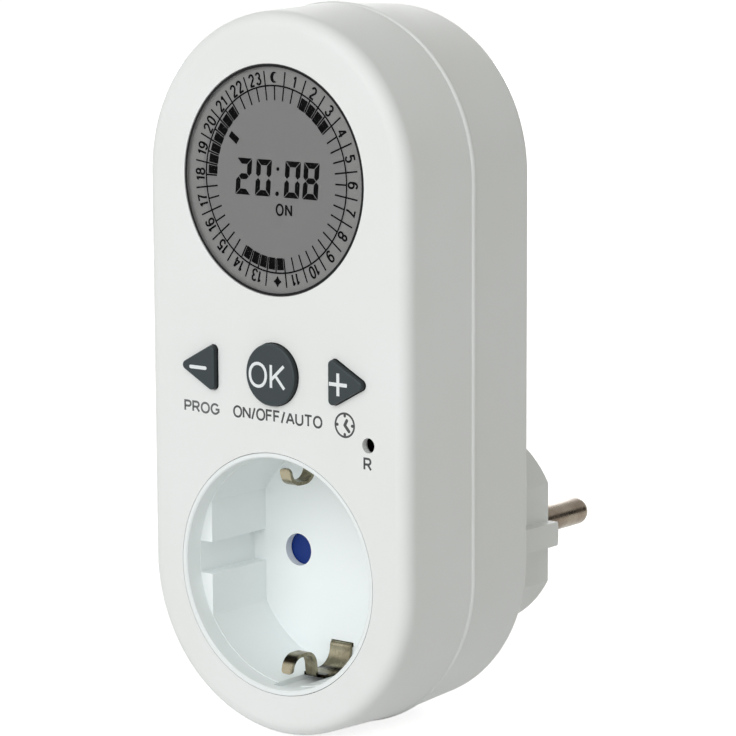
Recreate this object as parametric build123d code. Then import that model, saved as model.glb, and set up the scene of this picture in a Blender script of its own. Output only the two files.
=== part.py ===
from build123d import *
from math import atan, cos, degrees, radians, sin
import os

# Plug-in digital timer switch: two drafted housing shells, a round display and three keys
# above a recessed earthed socket, and an earthed two-pin plug on the back.
#
# Millimetres. The origin is the middle of the plug's end face, +X is to the right seen from
# the front, +Z is up and +Y is the way the plug pins point. A depth is counted from the
# front face towards the plug, along +Y. The socket axis is x = 0, z = 0.

# ---------------------------------------------------------------- driving dimensions
# housing
BODY_WIDTH = 56.0  # over both shells at the seam
CENTRE_PITCH = 65.3  # socket axis to display centre
FRONT_DEPTH = 16.8  # front face to seam
REAR_DEPTH = 17.4  # seam to back face
FRONT_DRAFT = 0.7  # each side is this much narrower at the front face than at the seam
REAR_DRAFT = 0.8  # and this much narrower at the back face
FRONT_EDGE = 2.5  # fillet round the front face
REAR_EDGE = 2.0  # fillet round the back face
SEAM_CHAMFER = 0.35
WALL = 2.0
FACE_WALL = 2.2  # wall behind the front face
LIP_HEIGHT = 1.6  # locating lip on the rear shell
LIP_THICKNESS = 1.0
TONGUE_WIDTH = 12.0  # hook at the bottom of the rear shell, in place of a lower pair of screws
TONGUE_HEIGHT = 4.5

# socket insert
RECESS_RADIUS = 19.5
RECESS_DEPTH = 17.5
RIM_WIDTH = 0.8  # flat ring that shows round the recess
RIM_LAND = 0.6  # flat that is left outside the ring's inner bevel
RIM_BEVEL = 0.2  # depth of the ring's inner edge
MOUTH_STEP = 0.08  # the bore is this much tighter below the mouth
INSERT_WALL = 1.75
FLOOR = 1.5
FLAT_HALF = 16.75  # half the distance between the two side flats
FLAT_START = 3.4  # depth at which the flats begin
GROOVE_WIDTH = 5.5  # side grooves for the plug's ribs
PIN_PITCH = 19.0
PIN_HOLE_RADIUS = 2.8
POCKET_START = 2.0  # depth at which the pockets for the earth clips begin
FLANGE_DEPTH = 7.0  # depth at which the insert's screw flange rests on the shell's bosses
FLANGE = 1.6

# plug
PLUG_HEIGHT = 21.3  # back face to plug end face
PLUG_RADIUS = 18.4
PLUG_FLAT_HALF = 16.2
PLUG_RIB_WIDTH = 4.2
PLUG_EDGE = 0.8
PLUG_END_WALL = 3.0
PIN_RADIUS = 2.4
PIN_LENGTH = 19.0
PIN_NECK = 0.3  # the pin is this much slimmer where it passes the end wall
COLLAR_RADIUS = 3.5
COLLAR = 1.5
TAIL_RADIUS = 1.6
TAIL_LENGTH = 2.2
CLAMP = 3.0  # insulating plate that holds the pins
CLAMP_POST_RADIUS = 2.6  # the plate is screwed to this post on the plug's end wall

# contacts and sheet metal
STRIP = 0.6  # thickness of every bent strip
CLIP_WIDTH = 4.4
CLIP_SPRING_WIDTH = 2.2
CLIP_RUN = 0.5  # how far the run along the wall stands in from the recess wall
CLIP_REACH = 5.2  # how far the spring arch stands in from the recess wall
CLIP_LEG = 2.8  # length of the arch's free leg
CLIP_ROUND = 0.7  # on the corners of the free end
CLIP_TAB = 4.5  # how far the tab on the floor reaches in from the recess wall
EARTH_POCKET = 0.75  # pocket for the clip in the recess wall
FOOT_REACH = 3.0  # how far each clip's foot runs inward under the carrier
CONTACT_WIDTH = 6.0
CONTACT_LENGTH = 17.5
CONTACT_GAP = 4.4  # between the relaxed leaves, a little under the pin
CONTACT_FLARE = 1.2  # how far each leaf opens at its mouth
CONTACT_BOW = 0.6  # and behind the grip
TOWER_WALL = 1.0
BUS_WIDTH = 2.2
BUS_OFFSET = 1.8  # of each bus strip from its pin's centre, across

# shutter
SHUTTER = 1.9  # thickness of the rotor
SHUTTER_RADIUS = 13.2
SHUTTER_HUB = 4.4
SHUTTER_HALF_ANGLE = 20.0
PIVOT_RADIUS = 2.0
CARRIER = 2.4  # thickness of the contact carrier's plate
CARRIER_RADIUS = 20.3
POST_RADIUS = 2.2
POST_ORBIT = 15.7
SPRING_WIRE = 0.5
SPRING_RADIUS = 4.6

# display
DISPLAY_RADIUS = 18.85  # visible window
WINDOW_SET_BACK = 0.1
WINDOW = 0.5  # thickness of the window, which is glued on the panel
PANEL_APOTHEM = 20.2  # eight-sided glass panel
PANEL = 2.1
FRAME_APOTHEM = 21.3
ZEBRA_LENGTH = 14.5
ZEBRA_WIDTH = 1.5

# control board and keys
BOARD = 1.6
BOARD_DEPTH = 9.6  # depth of the control board's front face
BOARD_MARGIN = 1.1  # from the cavity wall to the board's edge
KEY_ROW = 33.5  # height of the keys above the socket axis
KEY_PROUD = 1.1
KEY_TRAVEL = 0.4
KEY_FLANGE = 1.0
KEY_LEDGE = 1.0  # how far the flange stands out round the key
KEY_EDGE = 0.35
OK_RADIUS = 5.15
ARROW_TIP = 19.9  # apex of each arrow key from the centre line
ARROW_BASE = 12.1
ARROW_HALF_HEIGHT = 4.25
ARROW_ROUND = 0.8
ARROW_SWITCH_X = 14.6
SWITCH_SIZE = 6.0
SWITCH_HEIGHT = 3.4
PLUNGER_RADIUS = 1.7
PLUNGER_PROUD = 1.35
PLUNGER_LENGTH = 2.35
RESET_X = 19.6
RESET_Z = 23.8
RESET_HOLE_RADIUS = 1.25
RESET_HOLE_DEPTH = 1.1  # the hole is wider behind this
RESET_RELIEF = 0.7  # by this much all round

# power board
POWER_STANDOFF = 1.4
POWER_MARGIN = 2.2
POWER_FOOT = 24.6  # lower edge of the power board
BUS_LANDING = 26.5  # height at which the bus strips enter the power board

# relay
RELAY_X = 12.3
RELAY_FOOT = 30.0
RELAY_WIDTH = 12.6
RELAY_LENGTH = 28.8
RELAY_ROOM = 2.6  # control board to relay cover: more than a screw head or the crystal
RELAY_SKIN = 0.7
RELAY_BASE = 1.6
RELAY_SWING = 3.5  # degrees from open to closed
COIL_ROOM = 7.0  # of the relay's height, taken up by its cover, yoke, contacts and base
BOBBIN_RADIUS = 2.2
BOBBIN_FLANGE = 0.8
BOBBIN_EDGE = 0.3  # how far the flanges stand out past the winding
CORE_RADIUS = 1.5
YOKE = 1.2  # thickness of the bent yoke
YOKE_WIDTH = 8.0
ARMATURE = 1.0
ARMATURE_WIDTH = 7.6
BLADE = 0.3
BLADE_WIDTH = 5.0
RIVET_RADIUS = 1.2
POST_WIDTH = 3.0  # fixed contact's post

# tall pieces between the boards
CELL_HEIGHT = 5.7
CAN_ROOM = 1.3  # between the button cell and the round capacitor behind it

# screws
PILLAR_RADIUS = 1.8  # front shell
REAR_PILLAR_RADIUS = 3.0
SCREW_SHANK = 1.1
SCREW_HEAD = 1.9
SCREW_HEAD_HEIGHT = 1.6
SCREW_GRIP = 8.0  # how far the shank runs into the front shell
SCREW_SLOT = 0.5  # width of the drive cross
SMALL_SHANK = 0.8
SMALL_HEAD = 1.6
SMALL_HEAD_HEIGHT = 1.2
BLIND = 1.0  # material left under a blind hole
TIP_ROOM = 0.2  # between a screw's tip and the bottom of its hole

# clearances
FIT = 0.1  # between fixed pieces that locate each other
SLIDE = 0.15  # round each key
RUNNING = 0.06  # radial, in a bearing
TOUCH = 0.05  # between pieces that meet when one of them moves
ROOM = 0.4  # between a board and a pillar
FREE = 0.2  # between fixed pieces that never meet
EMBED = 0.5  # how far a raised feature is sunk into the wall that carries it

# ---------------------------------------------------------------- worked-out sizes
HALF = BODY_WIDTH / 2
INNER_HALF = HALF - WALL
BODY_DEPTH = FRONT_DEPTH + REAR_DEPTH
FRONT_Y = -(BODY_DEPTH + PLUG_HEIGHT)
PLUG_END = BODY_DEPTH + PLUG_HEIGHT  # depth of the plug's end face
BACK_INNER = BODY_DEPTH - WALL
FRONT_SLOPE = FRONT_DRAFT / FRONT_DEPTH
REAR_SLOPE = REAR_DRAFT / REAR_DEPTH
PIN_X = PIN_PITCH / 2

OPENING_RADIUS = RECESS_RADIUS + RIM_WIDTH + FIT
CUP_RADIUS = RECESS_RADIUS + INSERT_WALL
FLOOR_BACK = RECESS_DEPTH + FLOOR
SHUTTER_FRONT = FLOOR_BACK + FREE
CARRIER_FRONT = SHUTTER_FRONT + SHUTTER + FREE
CARRIER_BACK = CARRIER_FRONT + CARRIER
SPRING_POCKET = CARRIER - 0.8
FOOT_DEPTH = CARRIER_BACK + STRIP / 2  # middle of the clips' feet
STRAP_DEPTH = FOOT_DEPTH + STRIP  # middle of the earth strap's cross bar
CONTACT_MOUTH = STRAP_DEPTH + STRIP
CONTACT_BACK = CONTACT_MOUTH + CONTACT_LENGTH
TOWER_END = CONTACT_BACK - 2 * STRIP
TOWER_HALF_HEIGHT = PIN_RADIUS + 2.0
BUS_LIFT = TOWER_HALF_HEIGHT + TOWER_WALL + 0.6 + STRIP / 2
COLLAR_DEPTH = PLUG_END - PLUG_END_WALL - COLLAR
LINK_DEPTH = COLLAR_DEPTH - STRIP / 2
CLAMP_BACK = COLLAR_DEPTH - STRIP
CLAMP_FRONT = CLAMP_BACK - CLAMP
PLUG_INNER = PLUG_RADIUS - WALL
PLUG_INNER_FLAT = PLUG_FLAT_HALF - WALL
STRAP_LIFT = PLUG_RADIUS - FREE - STRIP / 2  # middle of the earth strap's legs

WINDOW_BACK = WINDOW_SET_BACK + WINDOW
PANEL_FRONT = WINDOW_BACK + TOUCH
PANEL_BACK = PANEL_FRONT + PANEL
BOARD_BACK = BOARD_DEPTH + BOARD
SWITCH_FRONT = BOARD_DEPTH - SWITCH_HEIGHT
PLUNGER_TIP = SWITCH_FRONT - PLUNGER_PROUD
POWER_BACK = BACK_INNER - POWER_STANDOFF
POWER_FRONT = POWER_BACK - BOARD
BUS_DEPTH = BACK_INNER - 0.4 - STRIP / 2
RELAY_HEIGHT = POWER_FRONT - BOARD_BACK - RELAY_ROOM
RELAY_FRONT = POWER_FRONT - RELAY_HEIGHT
RELAY_FLOOR = POWER_FRONT - RELAY_BASE
YOKE_DEPTH = RELAY_FRONT + RELAY_SKIN + YOKE / 2 + ROOM  # also the depth of the armature's pivot
COIL_RADIUS = (RELAY_HEIGHT - COIL_ROOM) / 2
POLE_RADIUS = COIL_RADIUS - 1.0
COIL_DEPTH = YOKE_DEPTH + YOKE / 2 + ROOM + COIL_RADIUS + BOBBIN_EDGE
YOKE_FOOT = RELAY_FOOT + 2.0
POLE_FACE = RELAY_FOOT + 19.2
COIL_LOW = YOKE_FOOT + YOKE + BOBBIN_FLANGE
COIL_HIGH = POLE_FACE - 2 * BOBBIN_FLANGE - 1.0
RIVET_DEPTH = COIL_DEPTH + COIL_RADIUS + 0.7

# pillars that the housing screws pull together: two beside the display, two below it
PILLAR_ORBIT = INNER_HALF - PILLAR_RADIUS - 1.0
PILLAR_SPLIT = FRONT_DEPTH - 2.3  # depth at which front and rear pillars meet
SCREW_SEAT = PILLAR_SPLIT + 2.0
UPPER_PILLAR_ANGLE = 45.0
LOWER_PILLAR_DROP = 22.3  # below the display centre
PILLARS = [
    (side * PILLAR_ORBIT * cos(radians(UPPER_PILLAR_ANGLE)),
     CENTRE_PITCH + PILLAR_ORBIT * sin(radians(UPPER_PILLAR_ANGLE)))
    for side in (-1, 1)
] + [(side * (PILLAR_ORBIT - 0.8), CENTRE_PITCH - LOWER_PILLAR_DROP) for side in (-1, 1)]

# bosses for the insert's screws, on the diagonals of the socket
BOSS_RADIUS = 1.9
BOSS_ORBIT = CUP_RADIUS + 1.25 * BOSS_RADIUS
BOSSES = [
    (BOSS_ORBIT * cos(radians(a)), BOSS_ORBIT * sin(radians(a))) for a in (45, 135, 225, 315)
]
FLANGE_RADIUS = BOSS_ORBIT + BOSS_RADIUS - 0.5

# stand-offs for the control board: two between the keys and the display, one at the top
STUD_RADIUS = 1.6
STUDS = [
    (-9.0, CENTRE_PITCH - FRAME_APOTHEM - STUD_RADIUS - 0.5),
    (9.0, CENTRE_PITCH - FRAME_APOTHEM - STUD_RADIUS - 0.5),
    (0.0, CENTRE_PITCH + FRAME_APOTHEM + STUD_RADIUS + 0.2),
]
POWER_STUD_RADIUS = 2.2
POWER_STUDS = [(-17.0, 30.0), (13.0, 78.0)]
POSTS = [
    (side * POST_ORBIT * sin(radians(30)), -side * POST_ORBIT * cos(radians(30)))
    for side in (-1, 1)
]
SWITCHES = {
    "ok": (0.0, KEY_ROW),
    "minus": (-ARROW_SWITCH_X, KEY_ROW),
    "plus": (ARROW_SWITCH_X, KEY_ROW),
    "reset": (RESET_X, RESET_Z),
}


# ---------------------------------------------------------------- drawing helpers
def at(depth):
    """Y of a depth."""
    return FRONT_Y + depth


def between(profile, near, far):
    """Solid of a front-view profile (X across, Z up) from one depth to a larger one."""
    plane = Plane(origin=(0, at(far), 0), x_dir=(1, 0, 0), z_dir=(0, -1, 0))
    return extrude(plane * profile, far - near)


def disc(radius, x=0.0, z=0.0):
    return Pos(x, z) * Circle(radius)


def block(width, height, x=0.0, z=0.0):
    return Pos(x, z) * Rectangle(width, height)


def octagon(apothem):
    """Eight-sided display outline with a flat on top."""
    return Pos(0, CENTRE_PITCH) * RegularPolygon(apothem, 8, major_radius=False, rotation=22.5)


def stadium(half_width):
    """Housing outline: two half circles joined by straight sides."""
    return Pos(0, CENTRE_PITCH / 2) * Rot(0, 0, 90) * SlotCenterToCenter(CENTRE_PITCH, 2 * half_width)


def tapered(half_width, start, length, slope, forward):
    """Stadium block that starts at a depth and narrows as it goes forward or back."""
    side = 1 if forward else -1
    plane = Plane(origin=(0, at(start), 0), x_dir=(side, 0, 0), z_dir=(0, -side, 0))
    return extrude(plane * stadium(half_width), length, taper=degrees(atan(slope)))


def strip(path, radii, width, x=0.0, thickness=STRIP):
    """Sheet strip bent along (depth, z) points, with its width across X centred on x."""
    line = FilletPolyline(*[(at(depth), z) for depth, z in path], radius=radii)
    section = trace(line, thickness)
    return extrude(Plane.YZ.offset(x - width / 2) * section, width)


def mirrored(shape, below):
    """The shape itself, or its mirror image below the socket axis."""
    return mirror(shape, Plane.XY) if below else shape


def screw(x, z, seat, tip, shank, head, height):
    """Pan-head screw: its head rests at seat and its shank runs to tip."""
    out = 1 if seat > tip else -1
    crown = seat + out * height
    middle = crown - out * height / 2
    cross = block(SCREW_SLOT, head * 1.2, x, z) + block(head * 1.2, SCREW_SLOT, x, z)
    body = between(disc(shank, x, z), min(seat, tip), max(seat, tip))
    body += between(disc(head, x, z), min(seat, crown), max(seat, crown))
    return body - between(cross, min(crown, middle), max(crown, middle))


def small_screws(places, seat, tip):
    """Group of small screws, one at each (x, z)."""
    return [screw(x, z, seat, tip, SMALL_SHANK, SMALL_HEAD, SMALL_HEAD_HEIGHT) for x, z in places]


def arrow(side, grow=0.0):
    """Rounded triangular key outline, pointing left (-1) or right (1)."""
    base, tip = side * ARROW_BASE, side * ARROW_TIP
    corners = [(tip, 0), (base, ARROW_HALF_HEIGHT), (base, -ARROW_HALF_HEIGHT)]
    face = make_face(Polyline(*corners, close=True))
    face = fillet(face.vertices(), ARROW_ROUND)
    if grow:
        face = offset(face, amount=grow)
    return Pos(0, KEY_ROW) * face


def key_outline(name, grow=0.0):
    if name == "ok":
        return disc(OK_RADIUS + grow, 0, KEY_ROW)
    return arrow(-1 if name == "minus" else 1, grow)


# ---------------------------------------------------------------- housing
def front_shell():
    body = tapered(HALF, FRONT_DEPTH, FRONT_DEPTH, FRONT_SLOPE, True)
    body = fillet(body.faces().sort_by(Axis.Y)[0].edges(), FRONT_EDGE)
    body = chamfer(body.faces().sort_by(Axis.Y)[-1].edges(), SEAM_CHAMFER)
    body -= tapered(INNER_HALF, FRONT_DEPTH, FRONT_DEPTH - FACE_WALL, FRONT_SLOPE, True)
    # rebate for the rear shell's lip, deeper where the bottom hook goes in
    rebate = stadium(INNER_HALF + LIP_THICKNESS)
    body -= between(rebate, FRONT_DEPTH - LIP_HEIGHT - FIT, FRONT_DEPTH)
    hook = block(TONGUE_WIDTH + 2 * FIT, 2 * LIP_THICKNESS + FIT, 0, -INNER_HALF)
    body -= between(hook, FRONT_DEPTH - TONGUE_HEIGHT - FIT, FRONT_DEPTH)
    # what stands on the inside of the front wall
    limit = tapered(HALF - WALL / 2, FRONT_DEPTH, FRONT_DEPTH - FACE_WALL / 2, FRONT_SLOPE, True)
    for x, z in PILLARS:
        pillar = between(disc(PILLAR_RADIUS, x, z), FACE_WALL / 2, PILLAR_SPLIT - FIT) & limit
        body += pillar
        body -= between(disc(SCREW_SHANK + TOUCH, x, z), PILLAR_SPLIT - SCREW_GRIP - TIP_ROOM,
                        PILLAR_SPLIT)
    for x, z in BOSSES:
        body += between(disc(BOSS_RADIUS, x, z), FACE_WALL / 2, FLANGE_DEPTH) & limit
        body -= between(disc(SMALL_SHANK + TOUCH, x, z), FACE_WALL + BLIND, FLANGE_DEPTH)
    for x, z in STUDS:
        body += between(disc(STUD_RADIUS, x, z), FACE_WALL / 2, BOARD_DEPTH) & limit
        body -= between(disc(SMALL_SHANK + TOUCH, x, z), FACE_WALL + BLIND, BOARD_DEPTH)
    # openings in the face, and the pocket behind it that takes the display panel
    body -= between(octagon(PANEL_APOTHEM + FIT), WINDOW_BACK, FACE_WALL)
    body -= between(disc(OPENING_RADIUS), -1, FACE_WALL)
    body -= between(disc(DISPLAY_RADIUS + FIT, 0, CENTRE_PITCH), -1, FACE_WALL)
    for name in ("ok", "minus", "plus"):
        body -= between(key_outline(name, SLIDE), -1, FACE_WALL)
    body -= between(disc(RESET_HOLE_RADIUS, RESET_X, RESET_Z), -1, FACE_WALL)
    relief = disc(RESET_HOLE_RADIUS + RESET_RELIEF, RESET_X, RESET_Z)
    body -= between(relief, RESET_HOLE_DEPTH, FACE_WALL)
    return body


def plug_outline(radius, flat_half, rib_width, rib_reach):
    """Round plug section with two side flats, and a rib across each flat."""
    core = disc(radius) & block(2 * flat_half, 2 * radius)
    return core + (disc(rib_reach) & block(2 * rib_reach, rib_width))


def rear_shell():
    body = tapered(HALF, FRONT_DEPTH, REAR_DEPTH, REAR_SLOPE, False)
    body = fillet(body.faces().sort_by(Axis.Y)[-1].edges(), REAR_EDGE)
    body = chamfer(body.faces().sort_by(Axis.Y)[0].edges(), SEAM_CHAMFER)
    plug = between(
        plug_outline(PLUG_RADIUS, PLUG_FLAT_HALF, PLUG_RIB_WIDTH, PLUG_RADIUS),
        BACK_INNER + WALL / 2, PLUG_END,
    )
    plug = fillet(plug.faces().sort_by(Axis.Y)[-1].edges(), PLUG_EDGE)
    body += plug
    body -= tapered(INNER_HALF, FRONT_DEPTH, REAR_DEPTH - WALL, REAR_SLOPE, False)
    hollow = disc(PLUG_INNER) & block(2 * PLUG_INNER_FLAT, 2 * PLUG_INNER)
    body -= between(hollow, BACK_INNER - 1, PLUG_END - PLUG_END_WALL)
    # locating lip and bottom hook
    lip = stadium(INNER_HALF + LIP_THICKNESS - FIT) - stadium(INNER_HALF - FIT)
    body += between(lip, FRONT_DEPTH - LIP_HEIGHT, FRONT_DEPTH + 1)
    tongue = block(TONGUE_WIDTH, LIP_THICKNESS, 0, -INNER_HALF)
    body += between(tongue, FRONT_DEPTH - TONGUE_HEIGHT, FRONT_DEPTH + 1)
    # screw pillars with counterbored holes from the back
    limit = tapered(HALF - WALL / 2, FRONT_DEPTH, REAR_DEPTH - WALL / 2, REAR_SLOPE, False)
    limit += between(stadium(INNER_HALF - LIP_THICKNESS), PILLAR_SPLIT, FRONT_DEPTH)
    for x, z in PILLARS:
        body += between(disc(REAR_PILLAR_RADIUS, x, z), PILLAR_SPLIT, BODY_DEPTH) & limit
    for x, z in PILLARS:
        body -= between(disc(SCREW_SHANK + FIT, x, z), PILLAR_SPLIT - 1, SCREW_SEAT)
        body -= between(disc(SCREW_HEAD + FIT, x, z), SCREW_SEAT, BODY_DEPTH + 1)
    for x, z in POWER_STUDS:
        body += between(disc(POWER_STUD_RADIUS, x, z), POWER_BACK, BACK_INNER + WALL / 2)
        body -= between(disc(SMALL_SHANK + TOUCH, x, z), POWER_BACK, BACK_INNER + WALL / 2)
    # centre post for the pin clamp, holes for the pins
    body += between(disc(CLAMP_POST_RADIUS), CLAMP_BACK, PLUG_END - PLUG_END_WALL + EMBED)
    body -= between(disc(SMALL_SHANK + TOUCH), CLAMP_BACK, PLUG_END - BLIND)
    for x in (-PIN_X, PIN_X):
        body -= between(disc(PIN_RADIUS + TOUCH, x), PLUG_END - PLUG_END_WALL - 1, PLUG_END + 1)
    # slots and grooves for the earth strap's legs
    low, high = STRAP_LIFT - STRIP / 2 - FIT, PLUG_RADIUS + 1
    for side in (-1, 1):
        groove = block(CLIP_WIDTH + 2 * FIT, high - low, 0, side * (low + high) / 2)
        body -= between(groove, BODY_DEPTH, PLUG_END + 1)
        slot = block(CLIP_WIDTH + 2 * FIT, STRIP + 2 * FIT, 0, side * STRAP_LIFT)
        body -= between(slot, BACK_INNER - 1, BODY_DEPTH + 1)
    return body


def housing_screws():
    return [
        screw(x, z, SCREW_SEAT, PILLAR_SPLIT - SCREW_GRIP, SCREW_SHANK, SCREW_HEAD, SCREW_HEAD_HEIGHT)
        for x, z in PILLARS
    ]


# ---------------------------------------------------------------- socket
def socket_insert():
    rim = between(disc(RECESS_RADIUS + RIM_WIDTH), 0, FACE_WALL)
    cup = between(disc(CUP_RADIUS), FACE_WALL, FLOOR_BACK)
    flange = between(disc(FLANGE_RADIUS), FLANGE_DEPTH, FLANGE_DEPTH + FLANGE)
    body = rim + cup + flange
    body -= between(disc(RECESS_RADIUS), 0, FLAT_START)
    body -= between(disc(RECESS_RADIUS - MOUTH_STEP), FLAT_START, RECESS_DEPTH)
    face = body.faces().sort_by(Axis.Y)[0]
    inner_edge = face.edges().sort_by(SortBy.RADIUS)[0]
    body = chamfer(inner_edge, RIM_WIDTH - RIM_LAND, RIM_BEVEL, reference=face)
    # side flats below the mouth, each split by the groove for a plug's rib
    bore = disc(RECESS_RADIUS + EMBED)
    flats = bore - block(2 * FLAT_HALF, 3 * RECESS_RADIUS)
    flats -= block(3 * RECESS_RADIUS, GROOVE_WIDTH)
    body += between(flats, FLAT_START, RECESS_DEPTH)
    for x in (-PIN_X, PIN_X):
        body -= between(disc(PIN_HOLE_RADIUS, x), RECESS_DEPTH - 1, FLOOR_BACK)
    for side in (-1, 1):
        column = block(CLIP_WIDTH + 2 * FREE, RECESS_RADIUS, 0, side * RECESS_RADIUS)
        pocket = disc(RECESS_RADIUS + EARTH_POCKET) & column
        body -= between(pocket, POCKET_START, RECESS_DEPTH)
        slot = block(CLIP_WIDTH + 2 * FREE, STRIP + 2 * FIT, 0, side * (RECESS_RADIUS - CLIP_TAB))
        body -= between(slot, RECESS_DEPTH - 1, FLOOR_BACK)
    for x, z in BOSSES:
        body -= between(disc(SMALL_SHANK + FIT, x, z), FLANGE_DEPTH, FLANGE_DEPTH + FLANGE)
    # pivot pin for the shutter and posts for the contact carrier
    body += between(disc(PIVOT_RADIUS), FLOOR_BACK - EMBED, CARRIER_FRONT + SPRING_POCKET - FIT)
    for x, z in POSTS:
        body += between(disc(POST_RADIUS, x, z), FLOOR_BACK - EMBED, CARRIER_FRONT)
        body -= between(disc(SMALL_SHANK + TOUCH, x, z), FLOOR_BACK - TIP_ROOM, CARRIER_FRONT)
    return body


def insert_screws():
    return small_screws(BOSSES, FLANGE_DEPTH + FLANGE, FACE_WALL + BLIND + TIP_ROOM)


def shutter_rotor():
    """Two wings on a hub; each covers a pin hole until the rotor turns."""
    wing = disc(SHUTTER_RADIUS)
    reach = 2 * SHUTTER_RADIUS
    half = radians(SHUTTER_HALF_ANGLE)
    bow_tie = None
    for side in (-1, 1):
        corners = [(0, 0), (side * reach * cos(half), reach * sin(half)),
                   (side * reach * cos(half), -reach * sin(half))]
        fan = make_face(Polyline(*corners, close=True))
        bow_tie = fan if bow_tie is None else bow_tie + fan
    outline = (wing & bow_tie) + disc(SHUTTER_HUB)
    body = between(outline, SHUTTER_FRONT, SHUTTER_FRONT + SHUTTER)
    body -= between(disc(PIVOT_RADIUS + RUNNING), SHUTTER_FRONT - 1, SHUTTER_FRONT + SHUTTER + 1)
    return body


def shutter_spring():
    """Flat spiral of half circles round the pivot."""
    pitch = 2 * SPRING_WIRE
    inner = SPRING_RADIUS - 2 * pitch
    edges = []
    radius, centre = inner, 0.0
    for turn in range(4):
        start = 0 if turn % 2 == 0 else 180
        edges.append(CenterArc((centre, 0), radius, start, 180))
        step = pitch / 2
        centre += -step if turn % 2 == 0 else step
        radius += step
    wire = trace(edges, SPRING_WIRE)
    return between(wire, CARRIER_FRONT + FIT, CARRIER_FRONT + FIT + 2 * SPRING_WIRE)


def contact_carrier():
    """Insulating plate behind the shutter with a square tower round each contact."""
    body = between(disc(CARRIER_RADIUS), CARRIER_FRONT, CARRIER_BACK)
    width, height = CONTACT_WIDTH + 2 * FREE, 2 * TOWER_HALF_HEIGHT
    for x in (-PIN_X, PIN_X):
        tower = block(width + 2 * TOWER_WALL, height + 2 * TOWER_WALL, x) - block(width, height, x)
        body += between(tower, CARRIER_BACK - EMBED, TOWER_END)
        body -= between(disc(PIN_HOLE_RADIUS + FREE, x), CARRIER_FRONT - 1, CARRIER_BACK + 1)
    body -= between(disc(SPRING_RADIUS + 2 * SPRING_WIRE), CARRIER_FRONT,
                    CARRIER_FRONT + SPRING_POCKET)
    for x, z in POSTS:
        body -= between(disc(SMALL_SHANK + FIT, x, z), CARRIER_FRONT, CARRIER_BACK)
    for side in (-1, 1):
        slot = block(CLIP_WIDTH + 2 * FREE, STRIP + 2 * EMBED, 0,
                     side * (RECESS_RADIUS - CLIP_TAB - 2 * FREE))
        body -= between(slot, CARRIER_FRONT, CARRIER_BACK)
    return body


def carrier_screws():
    return small_screws(POSTS, CARRIER_BACK, FLOOR_BACK)


# ---------------------------------------------------------------- live parts
def contact(x):
    """Two leaves that grip a pin, joined by a base at the back."""
    rest = CONTACT_GAP / 2 + STRIP / 2
    wide = rest + CONTACT_BOW
    leaf = [(CONTACT_MOUTH, rest + CONTACT_FLARE), (CONTACT_MOUTH + 5.5, rest),
            (CONTACT_MOUTH + 11.0, wide), (CONTACT_BACK - STRIP / 2, wide)]
    path = leaf + [(depth, -z) for depth, z in reversed(leaf)]
    return strip(path, [4.0, 6.0, 0.8, 0.8, 6.0, 4.0], CONTACT_WIDTH, x)


def tail_hole(x):
    return between(disc(TAIL_RADIUS + TOUCH, x), LINK_DEPTH - STRIP, LINK_DEPTH + STRIP)


def board_run(x, start):
    """Narrow strip from a depth in the plug up to the power board."""
    path = [(start, -PIN_RADIUS), (start, BUS_LIFT), (BUS_DEPTH, BUS_LIFT),
            (BUS_DEPTH, BUS_LANDING), (POWER_FRONT - STRIP, BUS_LANDING)]
    return strip(path, 0.8, BUS_WIDTH, x)


def neutral_link():
    """Joins the neutral pin to its contact, with an arm to the power board."""
    base = CONTACT_BACK + STRIP / 2
    foot = -CONTACT_WIDTH / 2
    path = [(LINK_DEPTH, foot), (LINK_DEPTH, BUS_LIFT), (base, BUS_LIFT), (base, foot)]
    arm = board_run(-PIN_X - BUS_OFFSET, base)
    return strip(path, 0.8, CONTACT_WIDTH, -PIN_X) + arm - tail_hole(-PIN_X)


def line_input_bar():
    """From the line pin to the power board."""
    pad = between(block(CONTACT_WIDTH, CONTACT_WIDTH, PIN_X), CLAMP_BACK, COLLAR_DEPTH)
    return pad + board_run(PIN_X + BUS_OFFSET, LINK_DEPTH) - tail_hole(PIN_X)


def line_output_bar():
    """From the power board to the line contact."""
    pad = between(block(CONTACT_WIDTH, CONTACT_WIDTH, PIN_X), CONTACT_BACK, CONTACT_BACK + STRIP)
    return pad + board_run(PIN_X - BUS_OFFSET, CONTACT_BACK + STRIP / 2)


def plug_pin(x):
    """Round pin with a neck in the plug's end wall, a collar behind it and a rivet tail."""
    body = between(disc(PIN_RADIUS, x), PLUG_END, PLUG_END + PIN_LENGTH)
    body = fillet(body.faces().sort_by(Axis.Y)[-1].edges(), PIN_RADIUS * 0.7)
    body += between(disc(PIN_RADIUS - PIN_NECK, x), COLLAR_DEPTH, PLUG_END)
    body += between(disc(COLLAR_RADIUS, x), COLLAR_DEPTH, COLLAR_DEPTH + COLLAR)
    body += between(disc(TAIL_RADIUS, x), COLLAR_DEPTH - TAIL_LENGTH, COLLAR_DEPTH + EMBED)
    return body


def pin_clamp():
    """Insulating plate that presses pins and links against the plug's end wall."""
    outline = disc(PLUG_INNER - FREE) & block(2 * (PLUG_INNER_FLAT - FREE), 2 * PLUG_INNER)
    top = BUS_LIFT - STRIP / 2 - 3 * FREE  # it stays below the strips that rise to the board
    outline &= block(4 * PLUG_INNER, 2 * PLUG_INNER, 0, top - PLUG_INNER)
    body = between(outline, CLAMP_FRONT, CLAMP_BACK)
    for x in (-PIN_X, PIN_X):
        body -= between(disc(TAIL_RADIUS + FREE, x), CLAMP_BACK - TAIL_LENGTH, CLAMP_BACK)
    return body - between(disc(SMALL_SHANK + FIT), CLAMP_FRONT, CLAMP_BACK)


def clamp_screw():
    return small_screws([(0, 0)], CLAMP_FRONT, PLUG_END - BLIND - TIP_ROOM)


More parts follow.
